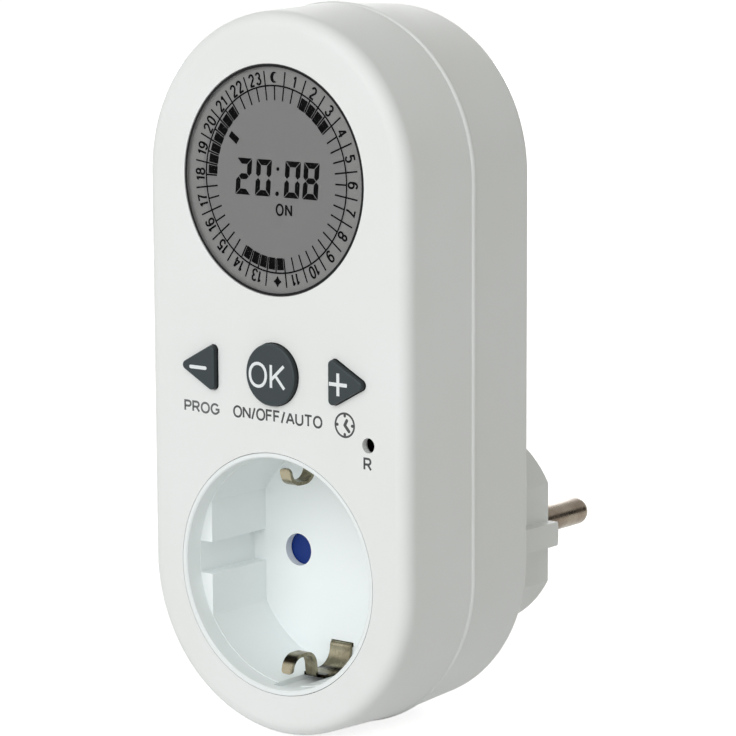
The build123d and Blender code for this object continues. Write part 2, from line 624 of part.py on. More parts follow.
def earth_clip(below):
    """Spring clip: foot, tab on the floor, run along the wall and an arch near the mouth."""
    tab = RECESS_RADIUS - CLIP_TAB
    run = RECESS_RADIUS - CLIP_RUN
    crest = RECESS_RADIUS - CLIP_REACH + STRIP / 2
    end = crest + CLIP_LEG
    on_floor = RECESS_DEPTH - TOUCH - STRIP / 2
    path = [(FOOT_DEPTH, tab - FOOT_REACH), (FOOT_DEPTH, tab), (on_floor, tab), (on_floor, run),
            (9.3, run), (8.8, crest), (3.3, crest), (2.8, end)]
    clip = strip(path, [0.6, 0.5, 3.4, 0.8, 2.4, 2.4], CLIP_WIDTH)
    spare = (CLIP_WIDTH - CLIP_SPRING_WIDTH) / 2
    for side in (-1, 1):
        trim = block(spare, 12, side * (CLIP_WIDTH - spare) / 2, RECESS_RADIUS - 4)
        clip -= between(trim, 0, 9.9)
    # the arch's free end is rounded
    corners = block(CLIP_WIDTH, 2 * CLIP_ROUND, 0, end)
    corners -= block(CLIP_SPRING_WIDTH - 2 * CLIP_ROUND, 3 * CLIP_ROUND, 0, end)
    for side in (-1, 1):
        corners -= disc(CLIP_ROUND, side * (CLIP_SPRING_WIDTH / 2 - CLIP_ROUND), end - CLIP_ROUND)
    clip -= between(corners, 0, 4.5)
    return mirrored(clip, below)


def earth_strap():
    """U-shaped strap: it carries both clips and forms the plug's two earth contacts."""
    end = PLUG_END - PLUG_EDGE
    path = [(end, -STRAP_LIFT), (STRAP_DEPTH, -STRAP_LIFT), (STRAP_DEPTH, STRAP_LIFT),
            (end, STRAP_LIFT)]
    return strip(path, 1.2, CLIP_WIDTH)


# ---------------------------------------------------------------- display and keys
def lcd_window():
    return between(disc(DISPLAY_RADIUS, 0, CENTRE_PITCH), WINDOW_SET_BACK, WINDOW_BACK)


def lcd_panel():
    return between(octagon(PANEL_APOTHEM), PANEL_FRONT, PANEL_BACK)


def zebra_outline(side, grow=0.0):
    z = CENTRE_PITCH + side * (DISPLAY_RADIUS + ZEBRA_WIDTH / 2)
    return block(ZEBRA_LENGTH + 2 * grow, ZEBRA_WIDTH + 2 * grow, 0, z)


def lcd_frame():
    """Frame on the control board that holds the panel and guides the contact strips."""
    rim = octagon(FRAME_APOTHEM) - octagon(PANEL_APOTHEM + FIT)
    seat = octagon(FRAME_APOTHEM) - disc(DISPLAY_RADIUS - ZEBRA_WIDTH, 0, CENTRE_PITCH)
    for side in (-1, 1):
        seat -= zebra_outline(side, FIT)
    return between(rim, FACE_WALL + TOUCH, PANEL_BACK) + between(seat, PANEL_BACK, BOARD_DEPTH)


def zebra_strip(side):
    return between(zebra_outline(side), PANEL_BACK, BOARD_DEPTH)


def control_pcb():
    """Board behind the display, cut round the socket, the pillars and the stand-off holes."""
    outline = stadium(INNER_HALF - BOARD_MARGIN)
    foot = RESET_Z - SWITCH_SIZE / 2 - ROOM
    outline &= block(BODY_WIDTH, 2 * CENTRE_PITCH, 0, foot + CENTRE_PITCH)
    outline -= disc(FLANGE_RADIUS + ROOM)
    for x, z in PILLARS:
        outline -= disc(PILLAR_RADIUS + ROOM, x, z)
    for x, z in STUDS:
        outline -= disc(SMALL_SHANK + FIT, x, z)
    return between(outline, BOARD_DEPTH, BOARD_BACK)


def pcb_screws():
    return small_screws(STUDS, BOARD_BACK, FACE_WALL + BLIND + TIP_ROOM)


def key(name):
    """Key with a flange behind the face and a stem that meets its switch."""
    x, z = SWITCHES[name]
    back = FACE_WALL + TOUCH
    cap = between(key_outline(name), -KEY_PROUD, back + EMBED)
    cap = fillet(cap.faces().sort_by(Axis.Y)[0].edges(), KEY_EDGE)
    flange = between(key_outline(name, KEY_LEDGE), back, back + KEY_FLANGE)
    return cap + flange + between(disc(PLUNGER_RADIUS, x, z), back + EMBED, PLUNGER_TIP - TOUCH)


def switch_body(name):
    x, z = SWITCHES[name]
    body = between(block(SWITCH_SIZE, SWITCH_SIZE, x, z), SWITCH_FRONT, BOARD_DEPTH)
    well = PLUNGER_TIP + PLUNGER_LENGTH + KEY_TRAVEL + FIT
    return body - between(disc(PLUNGER_RADIUS + FIT, x, z), SWITCH_FRONT, well)


def switch_plunger(name):
    x, z = SWITCHES[name]
    return between(disc(PLUNGER_RADIUS, x, z), PLUNGER_TIP, PLUNGER_TIP + PLUNGER_LENGTH)


def microcontroller():
    """Flat package with a row of legs along two sides."""
    size, thickness, centre = 10.0, 1.5, CENTRE_PITCH - 11.0
    legs, pitch, leg_width, leg_span, leg_thickness = 10, 0.9, 0.4, size + 2.4, 0.5
    body = between(block(size, size, 0, centre), BOARD_BACK + FIT, BOARD_BACK + thickness)
    for i in range(legs):
        z = centre + (i - (legs - 1) / 2) * pitch
        body += between(block(leg_span, leg_width, 0, z), BOARD_BACK, BOARD_BACK + leg_thickness)
    return body


def crystal():
    """Watch crystal can lying on the board."""
    x, low, radius, length = 11.5, CENTRE_PITCH - 14.0, 1.0, 6.0
    return along_z(radius, BOARD_BACK + radius, low, low + length, x)


def backup_battery():
    """Button cell: a can and a slightly raised cap."""
    x, z = -8.0, CENTRE_PITCH + 7.0
    radius, cap_radius, cap_rise, edge = 7.8, 5.6, 0.3, 0.5
    can = between(disc(radius, x, z), BOARD_BACK, BOARD_BACK + CELL_HEIGHT - cap_rise)
    can = chamfer(can.faces().sort_by(Axis.Y)[-1].edges(), edge)
    cap = between(disc(cap_radius, x, z), BOARD_BACK + CELL_HEIGHT / 2, BOARD_BACK + CELL_HEIGHT)
    return can + cap


# ---------------------------------------------------------------- power board
def relay_post_slot(grow=0.0):
    """Where the relay's fixed contact passes down through base and board."""
    return block(POST_WIDTH + 2 * grow, STRIP + 2 * grow, RELAY_X, POLE_FACE - STRIP)


def power_pcb():
    outline = stadium(INNER_HALF - POWER_MARGIN)
    outline &= block(BODY_WIDTH, 2 * CENTRE_PITCH, 0, POWER_FOOT + CENTRE_PITCH)
    for x, z in PILLARS:
        outline -= disc(REAR_PILLAR_RADIUS + ROOM, x, z)
    for x, z in POWER_STUDS:
        outline -= disc(SMALL_SHANK + FIT, x, z)
    for x in (-PIN_X - BUS_OFFSET, PIN_X - BUS_OFFSET, PIN_X + BUS_OFFSET):
        outline -= block(BUS_WIDTH + 2 * FIT, STRIP + 2 * FIT, x, BUS_LANDING)
    outline -= relay_post_slot(FIT)
    return between(outline, POWER_FRONT, POWER_BACK)


def power_pcb_screws():
    return small_screws(POWER_STUDS, POWER_FRONT, BACK_INNER + WALL / 2 - TIP_ROOM)


def dropper_capacitor():
    """Box capacitor, the tallest piece on the board."""
    x, z, width, length, height, edge = -17.0, CENTRE_PITCH - 9.0, 8.0, 17.5, 13.5, 0.6
    body = between(block(width, length, x, z), POWER_FRONT - height, POWER_FRONT)
    return fillet(body.edges().filter_by(Axis.Y), edge)


def smoothing_capacitor():
    """Round can with the usual groove near its foot."""
    x, z, radius, edge = -3.0, CENTRE_PITCH + 2.0, 4.0, 0.6
    groove_width, groove_depth, groove_foot = 0.6, 0.4, 2.0
    can = between(disc(radius, x, z), BOARD_BACK + CELL_HEIGHT + CAN_ROOM, POWER_FRONT)
    can = fillet(can.faces().sort_by(Axis.Y)[0].edges(), edge)
    ring = disc(radius + 1, x, z) - disc(radius - groove_depth, x, z)
    foot = POWER_FRONT - groove_foot
    return can - between(ring, foot - groove_width, foot)


def varistor():
    """Coated disc standing on edge, with a foot on the board."""
    x, low, radius, thickness, lift = -17.0, CENTRE_PITCH + 7.0, 4.6, 3.6, 0.6
    coated = along_z(radius, POWER_FRONT - radius - lift, low, low + thickness, x)
    foot = block(radius / 2, thickness / 2, x, low + thickness / 2)
    return coated + between(foot, POWER_FRONT - 2 * lift, POWER_FRONT)


def fusible_resistor():
    x, low, radius, length, edge = -6.0, 31.0, 1.8, 10.0, 0.5
    body = along_z(radius, POWER_FRONT - radius, low, low + length, x)
    return fillet(body.edges(), edge)


def rectifier_diodes():
    """Four small diodes in a row, as separate solids."""
    count, start, pitch, low, radius, length = 4, -9.0, 4.0, 46.0, 1.3, 5.0
    return [
        along_z(radius, POWER_FRONT - radius, low, low + length, start + i * pitch)
        for i in range(count)
    ]


def board_ribbon():
    """Flat ribbon that joins the two boards, with a slack bend halfway."""
    z, width, thickness, bend, slack = CENTRE_PITCH + 17.2, 9.0, 0.8, 2.5, 2.0
    quarter = (POWER_FRONT - BOARD_BACK) / 4
    path = [(BOARD_BACK, z), (BOARD_BACK + quarter, z), (BOARD_BACK + 2 * quarter, z + slack),
            (BOARD_BACK + 3 * quarter, z), (POWER_FRONT, z)]
    return strip(path, bend, width, 0.0, thickness)


# ---------------------------------------------------------------- relay
# The coil lies along Z. Its armature hangs from the yoke's upper end, in front of the pole.
def relay_box(width, length, front, back):
    """Upright box centred on the relay, between two depths."""
    return between(block(width, length, RELAY_X, RELAY_FOOT + RELAY_LENGTH / 2), front, back)


def along_z(radius, depth, low, high, x=RELAY_X):
    """Round bar along Z at a depth."""
    plane = Plane(origin=(x, at(depth), low), z_dir=(0, 0, 1))
    return extrude(plane * Circle(radius), high - low)


def swing_open(shape):
    """Turns a piece of the armature from the closed to the open position."""
    pivot = Axis((RELAY_X, at(YOKE_DEPTH), POLE_FACE), (1, 0, 0))
    return shape.rotate(pivot, RELAY_SWING)


def relay_base():
    inset = 2 * RELAY_SKIN + FIT
    body = relay_box(RELAY_WIDTH - inset, RELAY_LENGTH - inset, RELAY_FLOOR, POWER_FRONT)
    return body - between(relay_post_slot(FIT / 2), RELAY_FLOOR, POWER_FRONT)


def relay_cover():
    outer = relay_box(RELAY_WIDTH, RELAY_LENGTH, RELAY_FRONT, POWER_FRONT)
    outer = fillet(outer.edges().filter_by(Axis.Y), RELAY_SKIN / 2)
    skin = 2 * RELAY_SKIN
    inner = relay_box(RELAY_WIDTH - skin, RELAY_LENGTH - skin, RELAY_FRONT + RELAY_SKIN, POWER_FRONT)
    return outer - inner


def relay_bobbin():
    """Former with a flange at each end that stands on the base."""
    low, high = COIL_LOW - BOBBIN_FLANGE, COIL_HIGH + BOBBIN_FLANGE
    reach = COIL_RADIUS + BOBBIN_EDGE
    body = along_z(BOBBIN_RADIUS, COIL_DEPTH, low, high)
    for z in (low, COIL_HIGH):
        flange = block(2 * reach, BOBBIN_FLANGE, RELAY_X, z + BOBBIN_FLANGE / 2)
        body += between(flange, COIL_DEPTH - reach, RELAY_FLOOR)
    return body - along_z(CORE_RADIUS + TOUCH, COIL_DEPTH, low - 1, high + 1)


def relay_coil():
    winding = along_z(COIL_RADIUS, COIL_DEPTH, COIL_LOW, COIL_HIGH)
    return winding - along_z(BOBBIN_RADIUS, COIL_DEPTH, COIL_LOW, COIL_HIGH)


def relay_yoke():
    """Core and L-shaped yoke in one magnetic circuit."""
    length = POLE_FACE - FIT - YOKE_FOOT
    long_leg = block(YOKE_WIDTH, length, RELAY_X, YOKE_FOOT + length / 2)
    short_leg = block(YOKE_WIDTH, YOKE, RELAY_X, YOKE_FOOT + YOKE / 2)
    body = between(long_leg, YOKE_DEPTH - YOKE / 2, YOKE_DEPTH + YOKE / 2)
    body += between(short_leg, YOKE_DEPTH - YOKE / 2, COIL_DEPTH + POLE_RADIUS)
    body += along_z(CORE_RADIUS, COIL_DEPTH, YOKE_FOOT, POLE_FACE)
    return body + along_z(POLE_RADIUS, COIL_DEPTH, POLE_FACE - BOBBIN_FLANGE, POLE_FACE)


def relay_armature():
    z = POLE_FACE + TOUCH + ARMATURE / 2
    outline = block(ARMATURE_WIDTH, ARMATURE, RELAY_X, z)
    return swing_open(between(outline, YOKE_DEPTH - YOKE / 3, RIVET_DEPTH - RIVET_RADIUS - 0.3))


def relay_contact_blade():
    """Spring blade on the armature with the moving contact rivet."""
    top = POLE_FACE + TOUCH + ARMATURE
    outline = block(BLADE_WIDTH, BLADE, RELAY_X, top + BLADE / 2)
    blade = between(outline, YOKE_DEPTH + 2.0, RIVET_DEPTH + RIVET_RADIUS + FIT)
    rivet = along_z(RIVET_RADIUS, RIVET_DEPTH, POLE_FACE + 0.4, top + BLADE / 2)
    return swing_open(blade + rivet)


def relay_fixed_contact():
    """Post through base and board, with the fixed contact rivet."""
    post = between(relay_post_slot(), RIVET_DEPTH - 1.0, POWER_BACK + EMBED)
    return post + along_z(RIVET_RADIUS, RIVET_DEPTH + FREE, POLE_FACE - 0.4, POLE_FACE + 0.35)


# ---------------------------------------------------------------- every piece by name
PIECES = {
    "front_shell": front_shell,
    "rear_shell": rear_shell,
    "housing_screws": housing_screws,
    "socket_insert": socket_insert,
    "insert_screws": insert_screws,
    "shutter_rotor": shutter_rotor,
    "shutter_spring": shutter_spring,
    "contact_carrier": contact_carrier,
    "carrier_screws": carrier_screws,
    "neutral_contact": lambda: contact(-PIN_X),
    "line_contact": lambda: contact(PIN_X),
    "neutral_link": neutral_link,
    "line_input_bar": line_input_bar,
    "line_output_bar": line_output_bar,
    "plug_pin_neutral": lambda: plug_pin(-PIN_X),
    "plug_pin_line": lambda: plug_pin(PIN_X),
    "pin_clamp": pin_clamp,
    "clamp_screw": clamp_screw,
    "earth_strap": earth_strap,
    "earth_clip_top": lambda: earth_clip(False),
    "earth_clip_bottom": lambda: earth_clip(True),
    "lcd_window": lcd_window,
    "lcd_panel": lcd_panel,
    "lcd_frame": lcd_frame,
    "zebra_strip_upper": lambda: zebra_strip(1),
    "zebra_strip_lower": lambda: zebra_strip(-1),
    "control_pcb": control_pcb,
    "pcb_screws": pcb_screws,
    "microcontroller": microcontroller,
    "crystal": crystal,
    "backup_battery": backup_battery,
    "power_pcb": power_pcb,
    "power_pcb_screws": power_pcb_screws,
    "board_ribbon": board_ribbon,
    "dropper_capacitor": dropper_capacitor,
    "smoothing_capacitor": smoothing_capacitor,
    "varistor": varistor,
    "fusible_resistor": fusible_resistor,
    "rectifier_diodes": rectifier_diodes,
    "relay_base": relay_base,
    "relay_cover": relay_cover,
    "relay_bobbin": relay_bobbin,
    "relay_coil": relay_coil,
    "relay_yoke": relay_yoke,
    "relay_armature": relay_armature,
    "relay_contact_blade": relay_contact_blade,
    "relay_fixed_contact": relay_fixed_contact,
}
for switch in SWITCHES:
    PIECES[f"{switch}_switch_body"] = lambda name=switch: switch_body(name)
    PIECES[f"{switch}_switch_plunger"] = lambda name=switch: switch_plunger(name)
    if switch != "reset":
        PIECES[f"{switch}_button"] = lambda name=switch: key(name)

os.makedirs("parts", exist_ok=True)
for piece, make in PIECES.items():
    shape = make()
    solids = shape if isinstance(shape, list) else shape.solids()
    whole = solids[0] if len(solids) == 1 else Compound(children=[s.solid() for s in solids])
    export_step(whole, f"parts/{piece}.step")
    print(piece, len(solids))
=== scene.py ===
"""Looks for a plug-in timer switch: finishes, printing, display artwork and studio.

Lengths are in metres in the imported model's frame: X to the right, Y into the
wall, Z up, with the front face at Y = FACE and the plug's end face at Y = 0.
"""

import logging
import math
from collections.abc import Sequence
from dataclasses import dataclass
from enum import Enum
from functools import cache
from typing import Any

import bpy
import numpy as np
from mathutils import Matrix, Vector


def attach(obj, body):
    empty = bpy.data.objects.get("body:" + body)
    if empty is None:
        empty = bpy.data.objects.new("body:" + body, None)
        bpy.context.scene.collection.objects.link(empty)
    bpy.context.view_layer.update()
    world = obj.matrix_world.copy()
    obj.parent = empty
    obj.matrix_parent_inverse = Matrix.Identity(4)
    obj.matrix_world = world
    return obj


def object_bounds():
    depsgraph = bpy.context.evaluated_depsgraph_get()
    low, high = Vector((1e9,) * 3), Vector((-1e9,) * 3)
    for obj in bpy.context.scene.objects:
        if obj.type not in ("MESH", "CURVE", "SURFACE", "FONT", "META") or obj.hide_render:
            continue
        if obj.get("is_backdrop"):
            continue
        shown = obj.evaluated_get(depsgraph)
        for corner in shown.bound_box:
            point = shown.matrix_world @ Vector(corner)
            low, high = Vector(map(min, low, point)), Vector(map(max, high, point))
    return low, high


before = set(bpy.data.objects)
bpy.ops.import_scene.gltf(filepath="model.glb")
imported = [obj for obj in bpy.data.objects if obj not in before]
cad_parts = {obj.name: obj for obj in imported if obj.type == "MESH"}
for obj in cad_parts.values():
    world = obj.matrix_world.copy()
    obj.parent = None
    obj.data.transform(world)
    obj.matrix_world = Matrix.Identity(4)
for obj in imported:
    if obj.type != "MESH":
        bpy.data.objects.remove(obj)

LOG = logging.getLogger("timer_switch")
MM = 0.001
FACE = -55.5 * MM
DIAL_CENTRE = 65.3 * MM
NARROW = 0.88
CROSSING_STEP = 2e-6
HOUR = 15.0

RGB = tuple[float, float, float]
Point = tuple[float, float]
Socket = bpy.types.NodeSocket


class Body(Enum):
    """The moving bodies that new pieces ride on."""

    HOUSING = "housing"
    OK = "ok_key"
    MINUS = "minus_key"
    PLUS = "plus_key"


class Axis(Enum):
    """A direction of the object, with its place in a coordinate triple."""

    X = 0
    Y = 1
    Z = 2


def linear(red: float, green: float, blue: float) -> RGB:
    """Turns a colour written 0 to 255 into scene linear values.

    Args:
        red: Red, 0 to 255.
        green: Green, 0 to 255.
        blue: Blue, 0 to 255.

    Returns:
        The three linear values.
    """
    share = np.array([red, green, blue]) / 255.0
    low = share <= 0.04045
    return tuple(np.where(low, share / 12.92, ((share + 0.055) / 1.055) ** 2.4))


# Node sheets


class Sheet:
    """A node tree being filled in, with short calls for the usual nodes."""

    def __init__(self, tree: bpy.types.NodeTree) -> None:
        """Keeps the tree that the nodes go into."""
        self.tree = tree

    @classmethod
    def of(cls, owner: bpy.types.Material | bpy.types.World) -> "Sheet":
        """Turns on the nodes of a material or a world and clears them.

        Args:
            owner: The material or world.

        Returns:
            Its sheet.
        """
        owner.use_nodes = True
        owner.node_tree.nodes.clear()
        return cls(owner.node_tree)

    def node(
        self, kind: str, inputs: dict[str | int, Any] | None = None, **settings: Any
    ) -> bpy.types.Node:
        """Adds one node.

        Args:
            kind: Blender's name for the node type.
            inputs: Input name or number to a socket to wire or a plain value.
            **settings: Attributes of the node itself.

        Returns:
            The node.
        """
        made = self.tree.nodes.new(kind)
        for name, value in settings.items():
            setattr(made, name, value)
        for name, value in (inputs or {}).items():
            if isinstance(value, Socket):
                self.tree.links.new(value, made.inputs[name])
            else:
                made.inputs[name].default_value = value
        return made

    def wire(self, target: bpy.types.Node, **values: Any) -> None:
        """Sets a node's inputs, with _ for the spaces in their names.

        Args:
            target: The node.
            **values: Sockets to wire, plain values, or colours as triples.
        """
        for title, value in values.items():
            socket = target.inputs[title.replace("_", " ")]
            if isinstance(value, Socket):
                self.tree.links.new(value, socket)
            else:
                socket.default_value = (*value, 1.0) if isinstance(value, tuple) else value

    def maths(self, operation: str, *values: Any) -> Socket:
        """Adds a Math node on the given values and returns its result."""
        made = self.node("ShaderNodeMath", dict(enumerate(values)), operation=operation)
        return made.outputs[0]

    def mix(self, share: Any, first: Any, second: Any) -> Socket:
        """Mixes two colours by a share of the second.

        Args:
            share: 0 for all of the first colour, 1 for all of the second.
            first: A colour or a colour socket.
            second: A colour or a colour socket.

        Returns:
            The mixed colour.
        """
        full = [(*v, 1.0) if isinstance(v, tuple) else v for v in (first, second)]
        inputs = {0: share, 6: full[0], 7: full[1]}
        return self.node("ShaderNodeMix", inputs, data_type="RGBA").outputs[2]

    def ranged(
        self, value: Socket, low: float, high: float, start: float, end: float
    ) -> Socket:
        """Maps low..high to start..end, smoothly and held at both ends.

        Args:
            value: What is mapped.
            low: Where it gives start.
            high: Where it gives end.
            start: The first result.
            end: The last result.

        Returns:
            The result.
        """
        inputs = {0: value, 1: low, 2: high, 3: start, 4: end}
        made = self.node("ShaderNodeMapRange", inputs, interpolation_type="SMOOTHSTEP")
        return made.outputs[0]

    def noise(self, vector: Socket, scale: Any, detail: float, rough: float) -> Socket:
        """Noise from 0 to 1.

        Args:
            vector: Where the noise is read, in metres.
            scale: Waves in a metre.
            detail: How many finer layers there are.
            rough: How strong the finer layers are.

        Returns:
            The noise value.
        """
        inputs = {"Vector": vector, "Scale": scale, "Detail": detail, "Roughness": rough}
        return self.node("ShaderNodeTexNoise", inputs).outputs[0]

    def bump(self, height: Socket, distance: float, strength: float = 1.0) -> Socket:
        """A normal raised by height, distance metres at full height."""
        inputs = {"Height": height, "Distance": distance, "Strength": strength}
        return self.node("ShaderNodeBump", inputs).outputs[0]

    def place(self) -> Socket:
        """The point on the piece, in metres."""
        return self.node("ShaderNodeTexCoord").outputs["Object"]

    def parts(self, vector: Socket) -> list[Socket]:
        """The three numbers of a vector."""
        return list(self.node("ShaderNodeSeparateXYZ", {0: vector}).outputs)

    def seen(self) -> Socket:
        """1 for what the camera sees, straight, in gloss or through glass; else 0."""
        rays = self.node("ShaderNodeLightPath").outputs
        either = self.maths("MAXIMUM", rays["Is Camera Ray"], rays["Is Glossy Ray"])
        return self.maths("MAXIMUM", either, rays["Is Transmission Ray"])


class Effects:
    """Node groups that several finishes share. Each is built once and kept."""

    @staticmethod
    def _group(
        name: str, takes: dict[str, float | None], gives: Sequence[str]
    ) -> tuple[Sheet, Any, bpy.types.Node]:
        """Starts a node group with its sockets.

        Args:
            name: The group's name.
            takes: Input name to its usual value, or None for a vector.
            gives: Names of the outputs, which are plain values.

        Returns:
            The sheet to fill in, the inputs by name and the output node.
        """
        tree = bpy.data.node_groups.new(name, "ShaderNodeTree")
        for title, usual in takes.items():
            kind = "NodeSocketVector" if usual is None else "NodeSocketFloat"
            made = tree.interface.new_socket(title, in_out="INPUT", socket_type=kind)
            if usual is not None:
                made.default_value = usual
        for title in gives:
            tree.interface.new_socket(title, in_out="OUTPUT", socket_type="NodeSocketFloat")
        sheet = Sheet(tree)
        return sheet, sheet.node("NodeGroupInput").outputs, sheet.node("NodeGroupOutput")

    @staticmethod
    @cache
    def moulded_grain() -> bpy.types.NodeTree:
        """Fine grain of a moulded skin, with broad sink marks under it.

        Height = 0.7 fine noise + 0.3 broad noise. Tone is a slow drift of
        shade across the part, and Polish marks rubbed patches.
        """
        takes = {"Vector": None, "Waves": 2500.0, "Drift": 38.0}
        gives = ("Height", "Tone", "Polish")
        sheet, given, out = Effects._group("moulded_grain", takes, gives)
        fine = sheet.noise(given["Vector"], given["Waves"], 3.0, 0.6)
        broad = sheet.noise(given["Vector"], given["Drift"], 1.0, 0.4)
        drift = sheet.noise(given["Vector"], given["Drift"], 2.0, 0.5)
        rubbed = sheet.noise(given["Vector"], 95.0, 4.0, 0.65)
        fine, broad = (sheet.maths("MULTIPLY", *pair) for pair in ((fine, 0.7), (broad, 0.3)))
        sheet.wire(
            out,
            Height=sheet.maths("ADD", fine, broad),
            Tone=sheet.ranged(drift, 0.3, 0.7, 0.0, 1.0),
            Polish=sheet.ranged(rubbed, 0.42, 0.66, 0.0, 1.0),
        )
        return sheet.tree

    @staticmethod
    @cache
    def drawn_metal() -> bpy.types.NodeTree:
        """Drawing lines and tarnish of pressed or turned metal.

        Lines = noise of the point stretched by Along on each axis. Tarnish
        is where a coarse noise passes its middle, broken up by a finer one.
        """
        takes = {"Vector": None, "Along": None, "Patch": 420.0}
        sheet, given, out = Effects._group("drawn_metal", takes, ("Lines", "Tarnish"))
        pair = {0: given["Vector"], 1: given["Along"]}
        squeezed = sheet.node("ShaderNodeVectorMath", pair, operation="MULTIPLY").outputs[0]
        lines = sheet.noise(squeezed, 1.0, 3.0, 0.6)
        coarse = sheet.noise(given["Vector"], given["Patch"], 4.0, 0.6)
        worn = sheet.maths("ADD", coarse, sheet.maths("MULTIPLY", lines, 0.25))
        sheet.wire(out, Lines=lines, Tarnish=sheet.ranged(worn, 0.5, 0.78, 0.0, 1.0))
        return sheet.tree


# Finishes


@dataclass(frozen=True)
class Finish:
    """What every finish has: a name, and a material built when first asked for."""

    name: str

    def material(self) -> bpy.types.Material:
        """The material, built once."""
        title = "finish_" + self.name
        if title not in bpy.data.materials:
            sheet = Sheet.of(bpy.data.materials.new(title))
            skin = sheet.node("ShaderNodeBsdfPrincipled")
            sheet.node("ShaderNodeOutputMaterial", {"Surface": skin.outputs[0]})
            self.dress(sheet, skin)
        return bpy.data.materials[title]

    def dress(self, sheet: Sheet, skin: bpy.types.Node) -> None:
        """Wires this finish into its shader."""
        raise NotImplementedError


@dataclass(frozen=True)
class MouldedPlastic(Finish):
    """An injection moulded plastic skin with fine grain."""

    colour: RGB
    drift_colour: RGB
    roughness: float = 0.42
    polish: float = -0.08
    waves: float = 2500.0
    depth: float = 0.006 * MM
    gloss: float = 0.5
    # Painted light: depth bands that paint highlight or shade into the colour.
    bands: tuple[RGB, ...] = ()
    band_soft: float = 0.05 * MM

    def dress(self, sheet: Sheet, skin: bpy.types.Node) -> None:
        """Grain on the normal, drift on the colour, rubbed patches on roughness.

        Each of the painted light bands is a start and an end, in metres behind
        the front face, and a share: between them the colour is share times as
        bright, a painted highlight where the share is above 1 and painted shade
        where it is below 1.

        Args:
            sheet: The material's sheet.
            skin: Its shader.
        """
        inputs = {"Vector": sheet.place(), "Waves": self.waves}
        grain = sheet.node("ShaderNodeGroup", inputs, node_tree=Effects.moulded_grain())
        tone = sheet.mix(grain.outputs["Tone"], self.colour, self.drift_colour)
        # Each band paints a highlight (share above 1) or shade (share below 1).
        for start, end, share in self.bands:
            depth = sheet.parts(sheet.place())[Axis.Y.value]
            start, end, soft = FACE + start, FACE + end, self.band_soft
            after = sheet.ranged(depth, start - soft, start + soft, 0.0, 1.0)
            before = sheet.ranged(depth, end - soft, end + soft, 1.0, 0.0)
            within = sheet.maths("MULTIPLY", after, before)
            tone = sheet.mix(within, tone, tuple(c * share for c in self.colour))
        polish = grain.outputs["Polish"]
        sheet.wire(
            skin,
            Base_Color=tone,
            Roughness=sheet.maths("MULTIPLY_ADD", polish, self.polish, self.roughness),
            Specular_IOR_Level=self.gloss,
            Normal=sheet.bump(grain.outputs["Height"], self.depth),
        )


@dataclass(frozen=True)
class DrawnMetal(Finish):
    """Pressed, drawn or turned metal with tarnish in patches."""

    colour: RGB
    tarnish: RGB
    along: RGB = (4000.0, 250.0, 4000.0)
    roughness: float = 0.28
    dulled: float = 0.2
    patch: float = 420.0
    depth: float = 0.004 * MM
    line_share: float = 0.12
    # Painted shade and dark reflection: its colour, and the spots where it is painted.
    smudge: RGB = (0.0, 0.0, 0.0)
    smudges: tuple[RGB, ...] = ()

    def dress(self, sheet: Sheet, skin: bpy.types.Node) -> None:
        """Lines on the normal and roughness, tarnish on colour and roughness.

        Each painted shade spot is a Y, a Z and a reach: a band of painted shade
        and dark reflection across the strip that fades out where the distance in
        Y and Z passes the reach.

        Args:
            sheet: The material's sheet.
            skin: Its shader.
        """
        inputs = {"Vector": sheet.place(), "Along": self.along, "Patch": self.patch}
        drawn = sheet.node("ShaderNodeGroup", inputs, node_tree=Effects.drawn_metal())
        lines, stained = drawn.outputs["Lines"], drawn.outputs["Tarnish"]
        rough = sheet.maths("MULTIPLY_ADD", stained, self.dulled, self.roughness)
        tone = sheet.mix(stained, self.colour, self.tarnish)
        # Painted shade and dark reflection, darkest at each spot's centre.
        for y, z, reach in self.smudges:
            inputs = {"Vector": sheet.place(), "Scale": (0.0, 1.0, 1.0)}
            ends = {0: sheet.node("ShaderNodeMapping", inputs).outputs[0], 1: (0.0, y, z)}
            away = sheet.node("ShaderNodeVectorMath", ends, operation="DISTANCE")
            dark = sheet.ranged(away.outputs["Value"], 0.4 * reach, reach, 1.0, 0.0)
            tone = sheet.mix(dark, tone, self.smudge)
        sheet.wire(
            skin,
            Base_Color=tone,
            Metallic=1.0,
            Roughness=sheet.maths("MULTIPLY_ADD", lines, self.line_share, rough),
            Normal=sheet.bump(lines, self.depth),
        )


@dataclass(frozen=True)
class ClearPane(Finish):
    """A clear moulded window, faint grey, seen through by a plain alpha."""

    colour: RGB
    alpha: float

    def dress(self, sheet: Sheet, skin: bpy.types.Node) -> None:
        """Even alpha with a trace of moulding ripple in the roughness.

        Args:
            sheet: The material's sheet.
            skin: Its shader.
        """
        ripple = sheet.noise(sheet.place(), 60.0, 2.0, 0.5)
        rough = sheet.ranged(ripple, 0.3, 0.7, 0.06, 0.12)
        gloss = 0.1
        sheet.wire(
            skin,
            Base_Color=self.colour,
            Roughness=rough,
            Specular_IOR_Level=gloss,
            Alpha=self.alpha,
        )


